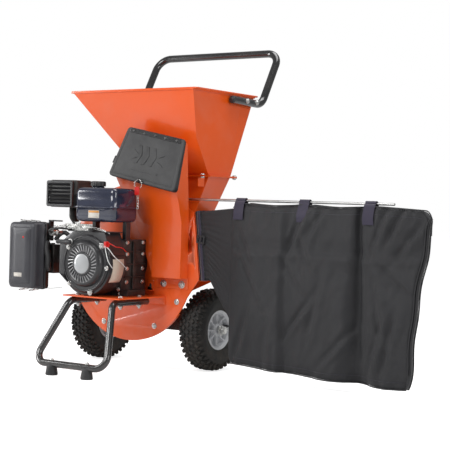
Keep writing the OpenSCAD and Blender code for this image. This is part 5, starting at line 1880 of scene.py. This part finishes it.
                line = path[0].lerp(path[-1], min(1.0, max(0.0, f)))
                i = min(len(path) - 2, max(0, int(f * (len(path) - 1))))
                while i < len(path) - 2 and path[i + 1].x < x:
                    i += 1
                while i > 0 and path[i].x > x:
                    i -= 1
                step = (x - path[i].x) / max(0.001, path[i + 1].x - path[i].x)
                vertex.co += (path[i].lerp(path[i + 1], min(1.0, max(0.0, step))) - line) * MM
            made.append(obj)
        return made

    def build(self) -> None:
        """Builds the bag."""
        dress(["bag_rod"], BRUSHED_ROD)
        cloth = self.shell()
        extras = self.hems() + self.neck_strap() + self.straps_up() + self.zip() + self.stitches()
        width = 1.2
        round(self.area / width, 3)


# ---- Engine ----

@dataclass
class Engine:
    """The horizontal-shaft petrol engine with its covers, tank, silencer, air cleaner and controls."""

    crank_z: float = 340.0
    cowl_y: float = 104.0
    recoil_y: float = 80.0

    def face(self, x: float, z: float, y: float) -> Matrix:
        """Frame on a front face, with Z pointing to the front and Y up."""
        return frame_matrix((x, y, z), (0, -1, 0))

    def castings(self) -> None:
        """Eases the castings and dresses the inner parts."""
        softened("crankcase", DARK_CASTING, 2.4, 3)
        softened("engine_cylinder", CASTING, 0.5, 1)
        softened("valve_cover", ZINC, 2.0, 3)
        softened("carburettor", DARK_CASTING, 1.4, 2)
        dress(["flywheel"], CASTING)
        dress(["air_filter"], FOAM)
        dress(["spark_plug"], ZINC)
        ribs = Draft("crankcase_ribs")
        for x in (-40, 0, 44, 70):
            ribs.add(block((x - 2, 176, 300), (x + 2, 182.5, 408)))
        ribs.add(block((-70, 214, 258), (-66, 290, 420)))
        for z in (300, 340, 380):
            ribs.add(block((80, 190, z - 2), (86, 290, z + 2)))
        ribs.add(block((80, 226, 262), (88, 238, 412)))
        ribs.piece("frame", DARK_CASTING, bevel=1.0)
        bolts = Draft("case_bolts")
        for z in (284, 326, 372, 408):
            for y in (204, 282):
                bolts.add(hex_head(10, 5, 7), frame_matrix((80, y, z), (1, 0, 0)))
        for x, z in ((-60, 262), (70, 262), (70, 410), (-60, 410)):
            bolts.add(hex_head(10, 5, 7), self.face(x, z, 178.2))
        bolts.add(hex_head(14, 8, 9), frame_matrix((60, 200, 247), (1, -1, 0)))
        bolts.piece("frame", ZINC, bevel=0.3)

    def cowl(self) -> None:
        """Builds the fan cover with its stepped rim and bolts."""
        softened("fan_cover", SATIN_BLACK, 3.2, 4)
        step = Draft("cowl_step")
        middle = self.face(0, self.crank_z, self.cowl_y)
        step.add(lathe([(69, -0.4), (70, 4.6), (73, 6.4), (86, 6.4), (89.5, 4.2), (91, -0.4)], 96, ring=True),
            middle)
        step.add(lathe([(82, 6.0), (83, 8.4), (86, 8.4), (87.4, 6.0)], 96, ring=True), middle)
        step.piece("frame", SATIN_BLACK)
        bolts = Draft("cowl_bolts")
        for x, z, big in ((66, 397, 1.25), (24, 252, 1.2), (-70, 388, 1.0), (-62, 276, 1.0), (88, 330, 1.0)):
            bolts.add(hex_head(10 * big, 5 * big, 8 * big),
                self.face(x, z, self.cowl_y - (6.2 if math.hypot(x, z - 340) < 92 else 0)))
        bolts.piece("frame", ZINC, bevel=0.3)
        label = Draft("cowl_label")
        loops = []
        for grow in (0.15, 0.7):
            loops.append([Vector(((98 + grow) * math.cos(a), y, 340 + (98 + grow) * math.sin(a))) for a, y in
                          [(math.radians(-34 + 44 * k / 12), 116) for k in range(13)]
                          + [(math.radians(10 - 44 * k / 12), 168) for k in range(13)]])
        label.add(loft(loops)).piece("frame", TAN_LABEL)
        cowl_top = Draft("cowl_shelf")
        cowl_top.add(prism(rounded_outline(176, 70, 12), 3), Matrix.Translation((0, 141, 438)))
        cowl_top.piece("frame", SATIN_BLACK, bevel=1.0)

    def starter(self) -> None:
        """Builds the recoil cover with its louvres, its plain badge and the pull grip."""
        middle = self.face(0, self.crank_z, 0)
        y0 = -self.cowl_y
        dish = Draft("recoil_dish")
        dish.add(lathe([(37, 19), (60, 17.4), (66, 13), (68.6, 3), (69, 0.3), (76, 0.3), (76, 3.4), (71.6, 5),
            (69.4, 13.6), (66, 17.8),
                        (60.6, 20.6), (58.6, 20.9), (57.6, 19.4)], 96, ring=True),
                            middle @ Matrix.Translation((0, 0, y0)))
        dish.piece("frame", SATIN_BLACK)
        back = Draft("recoil_back").add(lathe([(0, 5.5), (65, 5.5), (65, 7.5), (0, 7.5)], 64),
                                        middle @ Matrix.Translation((0, 0, y0)))
        back.piece("frame", BLACK_PLASTIC)
        hub = Draft("recoil_hub")
        hub.add(lathe([(0, 17), (38, 17), (38, 20.4), (35.5, 22.8), (32, 23.4), (31, 22.6), (0, 22.6)], 72),
                middle @ Matrix.Translation((0, 0, y0)))
        hub.piece("frame", SATIN_BLACK)
        p = Pattern("recoil_louvres", {"Louvres": ("NodeSocketInt", 30),
            "Ring radius": ("NodeSocketFloat", 47.5),
                                       "Length": ("NodeSocketFloat", 21.5)})
        ring = p.node("GeometryNodeMeshCircle", {"fill_type": "NONE"}, {"Vertices": p.input("Louvres"),
                                                                       "Radius": p.input("Ring radius")})
        fin = p.node("GeometryNodeMeshCube", {}, {"Size": (21.5, 3.4, 3.0)})
        scale = p.node("ShaderNodeMath", {"operation": "DIVIDE"}, {0: p.input("Length"), 1: 21.5})
        grow = p.node("ShaderNodeCombineXYZ", {}, {1: 1.0, 2: 1.0})
        p.tree.links.new(scale.outputs[0], grow.inputs[0])
        lean = p.node("GeometryNodeTransform", {}, {"Geometry": fin.outputs[0], "Scale": grow.outputs[0],
                                                    "Rotation": (math.radians(24), 0.0, math.radians(16))})
        spot = p.node("GeometryNodeInputPosition")
        turn = p.node("FunctionNodeAlignRotationToVector", {"axis": "X", "pivot_axis": "Z"},
            {"Vector": spot.outputs[0]})
        copies = p.node("GeometryNodeInstanceOnPoints", {},
            {"Points": ring.outputs[0], "Instance": lean.outputs[0],
                                                             "Rotation": turn.outputs[0]})
        p.finish("recoil_louvres", copies.outputs[0], LOUVRE_SILVER, "frame",
                 middle @ Matrix.Translation((0, 0, y0 + 18.6)), replaces=["recoil_cover"], flat=True)
        badge = Draft("plain_badge")
        badge.add(lathe([(0, 22.4), (30.5, 22.4), (30.5, 23.4), (29, 24.2), (20, 24.9), (0, 25.3)], 64),
                  middle @ Matrix.Translation((0, 0, y0)))
        badge.piece("frame", BADGE)
        low, high = node_box("starter_grip")
        grip_y, grip_z, grip_x = (low.y + 7.5), (low.z + high.z) / 2, (low.x + high.x) / 2
        grip = Draft("pull_grip")
        bar = frame_matrix((low.x, grip_y, grip_z), (1, 0, 0))
        span = high.x - low.x
        grip.add(lathe([(0, 0), (5.4, 0.4), (7.2, 2.4), (7.5, 7), (6.7, 13), (6.9, span / 2),
            (6.7, span - 13),
                        (7.5, span - 7), (7.2, span - 2.4), (5.4, span - 0.4), (0, span)], 32), bar)
        grip.add(lathe([(0, 0), (9, 0), (8.6, 4), (6, 11), (3.4, 13), (0, 13)], 28),
                 frame_matrix((grip_x, high.y - 0.5, grip_z), (0, -1, 0)) @ Matrix.Translation((0, 0, -1)))
        grip.piece("starter", BLACK_PLASTIC, replaces=["starter_grip"])
        rope = Draft("pull_rope")
        n = 40
        rope.add(tube([Vector((grip_x, high.y - 6 + 20.0 * k / n, grip_z)) for k in range(n + 1)],
                      lambda t: 2.4 + 0.12 * math.sin(t * 60), 12))
        rope.piece("starter", CORD, replaces=["starter_rope"])
        eye = Draft("rope_eye")
        eye.add(lathe([(4.2, -1), (9, -1), (9.6, 1.0), (8.4, 3.4), (5.6, 3.6), (4.2, 2)], 32, ring=True),
                self.face(grip_x, grip_z, self.cowl_y - 3.4 - 10))
        eye.piece("frame", ZINC)

    def tank(self) -> None:
        """Builds the fuel tank as two deep-drawn halves with a seam, its neck, strap and cap."""
        low, high = node_box("fuel_tank")
        low, high = low + Vector((5, 5, 0)), high - Vector((5, 5, 0))
        cx, cy = (low.x + high.x) / 2, (low.y + high.y) / 2
        w, d = high.x - low.x, high.y - low.y
        z0, z1 = 469.0, 576.0
        seam = z0 + 0.42 * (z1 - z0)
        rings = []
        for grow, z in ((-34, z0 + 1), (-20, z0 + 1), (-10, z0 + 2.2), (-4, z0 + 6), (-1.4, z0 + 12),
            (0, z0 + 20), (0, seam - 0.2),
                        (4.4, seam), (5.0, seam + 0.6), (5.0, seam + 3.4), (4.4, seam + 4), (0, seam + 4.4),
                            (0, z1 - 18),
                        (-1.6, z1 - 10), (-5, z1 - 4.4), (-11, z1 - 1.2), (-20, z1), (-36, z1 + 0.8)):
            rings.append([Vector((cx + x, cy + y, z)) for x, y in
                          rounded_outline(w + 2 * grow, d + 2 * grow, max(4.0, 17 + grow * 0.6), 7)])
        Draft("tank_shell").add(loft(rings)).piece("frame", NAVY, replaces=["fuel_tank"])
        feet = Draft("tank_brackets")
        for x in (low.x + 12, high.x - 26):
            feet.add(block((x, 186, 417), (x + 14, 208, 471)))
            feet.add(block((x - 4, 182, 414), (x + 18, 214, 418)))
        feet.piece("frame", SATIN_BLACK, bevel=1.0)
        fill = Draft("tank_neck")
        low_cap, high_cap = node_box("fuel_cap")
        px, py, pz = (low_cap.x + high_cap.x) / 2, (low_cap.y + high_cap.y) / 2, low_cap.z
        fill.add(lathe([(0, -6), (21, -6), (20, -2.5), (18, -1), (18, -0.3), (0, -0.3)], 40),
            Matrix.Translation((px, py, pz)))
        fill.piece("frame", NAVY)
        cap = Draft("tank_cap")
        n = 72
        rings = []
        for radius, z, rib in ((20.5, 0, 0), (23.6, 0.3, 0.3), (24, 1.6, 1), (24, 11.5, 1), (23.0, 14.2, 0.8),
            (20.6, 15.6, 0),
                               (15, 16, 0), (13.6, 14.8, 0), (5, 14.6, 0)):
            rings.append([Vector(((radius - rib * 1.5 * (i % 4 < 2)) * math.cos(2 * math.pi * i / n),
                                  (radius - rib * 1.5 * (i % 4 < 2)) * math.sin(2 * math.pi * i / n),
                                      z)) for i in range(n)])
        cap.add(loft(rings), Matrix.Translation((px, py, pz))).piece("cap", BLACK_PLASTIC,
            replaces=["fuel_cap"])
        label = Draft("tank_label")
        label.add(prism(rounded_outline(44, 24, 1.5), 0.5), self.face(-6 + 24, 494, 112.2))
        label.piece("frame", PALE_LABEL)
        stripe = Draft("tank_label_band")
        stripe.add(prism(rounded_outline(42, 6, 1), 0.25), self.face(18, 501.5, 111.8))
        stripe.piece("frame", AMBER_LABEL)

    def silencer(self) -> None:
        """Builds the silencer box, its louvred guard and its elbow."""
        low, high = node_box("muffler")
        low.z = 512.0
        cx, cy = (low.x + high.x) / 2, (low.y + high.y) / 2
        w, d = high.x - low.x, high.y - low.y
        rings = []
        for grow, z in ((-30, low.z), (-8, low.z), (-2.2, low.z + 2.4), (0, low.z + 8), (0, low.z + 40),
            (1.6, low.z + 41.5),
                        (1.6, low.z + 45), (0, low.z + 46.5), (0, high.z - 8), (-2.2, high.z - 2.4),
                            (-8, high.z), (-30, high.z)):
            rings.append([Vector((cx + x, cy + y, z)) for x,
                y in rounded_outline(w + 2 * grow, d + 2 * grow, max(6.0, 19 + grow), 7)])
        Draft("silencer_box").add(loft(rings)).piece("frame", HOT_BLACK, replaces=["muffler"])
        pipe = Draft("silencer_elbow")
        pipe.add(tube(arc_path([(low.x + 66, 232, low.z + 2), (low.x + 66, 232, low.z - 30),
            (low.x + 66, 246, low.z - 44)], 14), 13, 24))
        pipe.piece("frame", HOT_BLACK)
        glow, top = node_box("muffler_guard")
        guard = Draft("silencer_guard")
        gw, gh = top.x - glow.x, top.z - glow.z
        place = self.face((glow.x + top.x) / 2, (glow.z + top.z) / 2, top.y - 1)
        outer, inner = rounded_outline(gw, gh, 7), rounded_outline(gw - 16, gh - 16, 4)
        rings = [[Vector((x, y, z)) for x, y in o] for o,
            z in ((outer, 0), (outer, 5.5), (rounded_outline(gw - 3, gh - 3, 6), 7),
                                                                (inner, 7), (inner, 3.5), (inner, 0),
                                                                    (outer, 0))]
        guard.add(loft(rings, capped=False), place)
        guard.piece("frame", SATIN_BLACK, bevel=0.4, replaces=["muffler_guard"])
        p = Pattern("guard_louvres", {"Louvres": ("NodeSocketInt", 6), "Pitch": ("NodeSocketFloat", 12.0)})
        slat = p.node("GeometryNodeMeshCube", {}, {"Size": (gw - 14, 9.0, 1.6)})
        lean = p.node("GeometryNodeTransform", {},
            {"Geometry": slat.outputs[0], "Rotation": (math.radians(48), 0.0, 0.0)})
        step = p.node("ShaderNodeCombineXYZ")
        p.tree.links.new(p.input("Pitch"), step.inputs["Y"])
        row = p.node("GeometryNodeMeshLine", {"mode": "OFFSET", "count_mode": "TOTAL"}, {
            "Count": p.input("Louvres"), "Start Location": (0.0, -30.0, 3.4), "Offset": step.outputs[0]})
        copies = p.node("GeometryNodeInstanceOnPoints", {},
            {"Points": row.outputs[0], "Instance": lean.outputs[0]})
        p.finish("guard_louvres", copies.outputs[0], SATIN_BLACK, "frame", place, flat=True)

    def cleaner(self) -> None:
        """Builds the air cleaner: base, domed cover with a raised panel, ribs, wire clips and plate."""
        low, high = node_box("air_cleaner_cover")
        base_low, base_high = node_box("air_cleaner_base")
        low = Vector((base_low.x, low.y + 4, base_low.z))
        high = Vector((base_high.x, high.y, base_high.z))
        cx, cz, w, h = (low.x + high.x) / 2, (low.z + high.z) / 2, high.x - low.x, high.z - low.z
        depth = high.y - low.y
        place = self.face(cx, cz, high.y)
        rings = []
        for grow, z, r in ((-6, 0.4, 8), (0, 0, 10), (0, 6, 10), (-1.2, 7, 10), (-1.2, depth - 16, 10),
            (-2.6, depth - 7, 12),
                           (-6, depth - 2, 13), (-11, depth, 14), (-16, depth, 10), (-17, depth + 1.6, 9),
                               (-19, depth + 3.4, 8), (-40, depth + 3.8, 6)):
            rings.append([Vector((x, y, z)) for x,
                y in rounded_outline(w + 2 * grow, h + 2 * grow, max(4.0, r), 7)])
        Draft("cleaner_cover").add(loft(rings), place).piece("frame", GREY_PLASTIC,
            replaces=["air_cleaner_cover"])
        base = Draft("cleaner_base")
        bd = base_high.y - base_low.y
        rings = []
        for grow, z, r in ((-30, 0, 6), (-4, 0, 8), (0, 3, 10), (0, bd - 8, 10), (1.8, bd - 7, 11),
            (1.8, bd - 0.4, 11), (-6, bd - 0.4, 9)):
            rings.append([Vector((x, y, z)) for x, y in rounded_outline(w + 2 * grow, h + 2 * grow, r, 7)])
        base.add(loft(rings), self.face(cx, cz, base_high.y)).piece("frame", BLACK_PLASTIC,
            replaces=["air_cleaner_base"])
        p = Pattern("cleaner_ribs", {"Ribs": ("NodeSocketInt", 9), "Pitch": ("NodeSocketFloat", 18.5)})
        rib = p.node("GeometryNodeMeshCube", {}, {"Size": (4.0, 5.0, depth - 20)})
        step = p.node("ShaderNodeCombineXYZ")
        p.tree.links.new(p.input("Pitch"), step.inputs["Y"])
        row = p.node("GeometryNodeMeshLine", {"mode": "OFFSET", "count_mode": "TOTAL"}, {
            "Count": p.input("Ribs"), "Start Location": (-w / 2 + 0.4, -74.0, depth / 2),
                "Offset": step.outputs[0]})
        copies = p.node("GeometryNodeInstanceOnPoints", {},
            {"Points": row.outputs[0], "Instance": rib.outputs[0]})
        p.finish("cleaner_ribs", copies.outputs[0], BLACK_PLASTIC, "frame", place, flat=True)
        clips = Draft("cleaner_clips")
        for sz in (1, -1):
            for x in (cx + 18, cx - 26):
                z = cz + sz * h / 2
                y = high.y
                clips.add(tube(smooth_path([(x - 9, y + 10, z + sz * 1), (x - 8, y + 4, z + sz * 4),
                    (x - 8, y - 12, z + sz * 4.6), (x - 5, y - 22, z + sz * 6.5),
                                            (x, y - 25, z + sz * 7), (x + 5, y - 22, z + sz * 6.5),
                                                (x + 8, y - 12, z + sz * 4.6), (x + 8, y + 4, z + sz * 4),
                                            (x + 9, y + 10, z + sz * 1)], 5), 1.1, 8))
        clips.piece("frame", ZINC)
        plate = Draft("cleaner_plate")
        plate.add(prism(rounded_outline(34, 13, 1), 0.5), place @ Matrix.Translation((-8, -62, depth + 3.4)))
        plate.piece("frame", PALE_LABEL)
        dot = Draft("cleaner_dot")
        dot.add(prism(rounded_outline(7, 7, 3.4), 0.4), place @ Matrix.Translation((12, 58, depth + 3.5)))
        dot.piece("frame", RED_PLASTIC)

    def hoses(self) -> None:
        """Builds the breather hose, the plug lead with its boot, and the loose wires."""
        z = self.crank_z
        hose = Draft("breather_tube")
        low, high = node_box("breather_hose")
        hose.add(tube(smooth_path([(low.x + 7, 152, z + 66), (low.x + 18, 160, z + 84),
            (low.x + 30, 168, z + 91), (low.x + 44, 172, z + 84),
                                   (high.x - 6, 176, z + 66)], 8), lambda t: 7 + 0.25 * math.sin(t * 160),
                                       20))
        hose.piece("frame", RUBBER, replaces=["breather_hose"])
        drop = Draft("intake_elbow")
        drop.add(tube(smooth_path([(-178, 118, z + 62), (-176, 112, z + 40), (-166, 110, z + 10),
            (-168, 112, z - 14), (-176, 122, z - 26)], 8),
                      lambda t: 9 + 0.8 * math.sin(t * 120), 20))
        drop.piece("frame", RUBBER)
        lead = Draft("plug_lead")
        lead.add(tube(smooth_path([(-150, 104, z + 92), (-148, 92, z + 96), (-136, 86, z + 102),
            (-118, 90, z + 106), (-100, 98, z + 106),
                                   (-84, 112, z + 105), (-70, 126, z + 104)], 6), 3.3, 14))
        lead.piece("frame", RUBBER, replaces=["ignition_lead"])
        boot = Draft("plug_boot")
        boot.add(lathe([(0, 0), (11, 0), (11.4, 2), (10.6, 5), (10.9, 9), (9.4, 15), (8, 24), (5, 26),
            (0, 26)], 28),
                 frame_matrix((-150, 130, z + 92), (0, -1, 0)))
        boot.piece("frame", RUBBER)
        wires = Draft("stop_wires")
        wires.add(tube(smooth_path([(84, 92, 398), (92, 88, 380), (99, 92, 352), (103, 108, 330)], 6), 1.3,
            8))
        wires.add(tube(smooth_path([(86, 96, 396), (98, 98, 386), (108, 110, 366), (106, 140, 350),
            (98, 178, 330)], 6), 1.3, 8))
        wires.piece("frame", PALE_PLASTIC)
        red_wire = Draft("switch_wire")
        red_wire.add(tube(smooth_path([(90, 100, 408), (100, 102, 404), (108, 116, 396), (104, 150, 392),
            (96, 180, 380)], 6), 1.5, 8))
        red_wire.piece("frame", RED_PLASTIC)

    def controls(self) -> None:
        """Builds the levers, the governor linkage, its springs, the switch and the dipstick."""
        for node, finish, bevel in (("throttle_lever", BLACK_PLASTIC, 1.2),
            ("choke_lever", BLACK_PLASTIC, 0.8),
                                    ("fuel_lever", RED_PLASTIC, 0.8), ("engine_switch", RED_PLASTIC, 1.0),
                                    ("dipstick", YELLOW_PLASTIC, 0.9)):
            softened(node, finish, bevel, 3)
        plate = Draft("control_plate")
        plate.add(block((-104, 118, 441), (8, 121, 462)))
        plate.add(block((-104, 118, 441), (-20, 152, 443.5)))
        plate.add(block((-62, 116, 450), (-40, 119, 468)))
        plate.piece("frame", ZINC, bevel=0.8)
        rods = Draft("governor_rods")
        rods.add(tube(smooth_path([(-172, 128, 448), (-150, 118, 452), (-110, 114, 454), (-70, 112, 452),
            (-52, 110, 458)], 5), 1.3, 8))
        rods.add(tube(smooth_path([(-120, 108, 436), (-90, 108, 446), (-50, 112, 448), (-10, 112, 446),
            (40, 108, 446), (78, 108, 440)], 5), 1.5, 8))
        rods.add(tube(smooth_path([(-30, 110, 452), (10, 106, 453), (52, 106, 449), (86, 110, 436)], 5), 1.3,
            8))
        rods.add(tube(smooth_path([(-286, 150, 300), (-240, 140, 258), (-180, 130, 252), (-120, 128, 258)],
            6), 0.9, 8))
        rods.piece("frame", ZINC)
        springs = Draft("governor_springs")
        for (x0, z0, x1, z1, turns) in ((-140, 446, -96, 456, 13), (-30, 458, 12, 452, 12)):
            a, b = Vector((x0, 112, z0)), Vector((x1, 112, z1))
            way = (b - a).normalized()
            up = Vector((0, 1, 0))
            side = way.cross(up)
            steps = turns * 10
            springs.add(tube([a.lerp(b, k / steps) + up * 3.2 * math.cos(k * 0.628) + side * 3.2 * math.sin(k * 0.628)
                              for k in range(steps + 1)], 0.6, 6))
        springs.piece("frame", ZINC)
        screws = Draft("control_screws")
        for x, z in ((-96, 454), (-70, 446), (-50, 462), (-14, 456)):
            screws.add(lathe([(0, -2), (4.2, -2), (4.4, 0.6), (3.6, 2.4), (1.4, 3.2), (0, 3.2)], 18),
                self.face(x, z, 118))
        screws.add(hex_head(9, 4, 6), self.face(-132, 432, 112))
        screws.piece("frame", ZINC)
        strut = Draft("cleaner_strut")
        strut.add(block((-184, 128, 404), (-178, 146, 470)))
        strut.add(block((-184, 128, 466), (-140, 146, 470)))
        strut.piece("frame", SATIN_BLACK, bevel=0.8)

    def build(self) -> None:
        """Builds the engine."""
        self.castings()
        self.cowl()
        self.starter()
        self.tank()
        self.silencer()
        self.cleaner()
        self.hoses()
        self.controls()


# ---- Rotor ----

@dataclass
class Rotor:
    """The turning parts inside the housing."""

    def build(self) -> None:
        """Dresses the disc, knives, hammers and crankshaft with eased edges."""
        softened("rotor_disc", STEEL, 0.8, 2)
        softened("chipper_knives", STEEL, 0.6, 2)
        for k in range(1, 5):
            softened(f"hammer_{k}", STEEL, 0.8, 2)
        dress(["crankshaft"], ZINC)


def main() -> None:
    """Builds the studio and every sub-assembly in order."""
    logging.basicConfig(level=logging.INFO, format="%(name)s: %(message)s")
    Studio().build()
    TubeFrame().build()
    for side in Side:
        Wheel(side).build()
    Bodywork().build()
    Chute().build()
    Engine().build()
    Rotor().build()
    Bag().build()


if __name__ == "__main__":
    main()
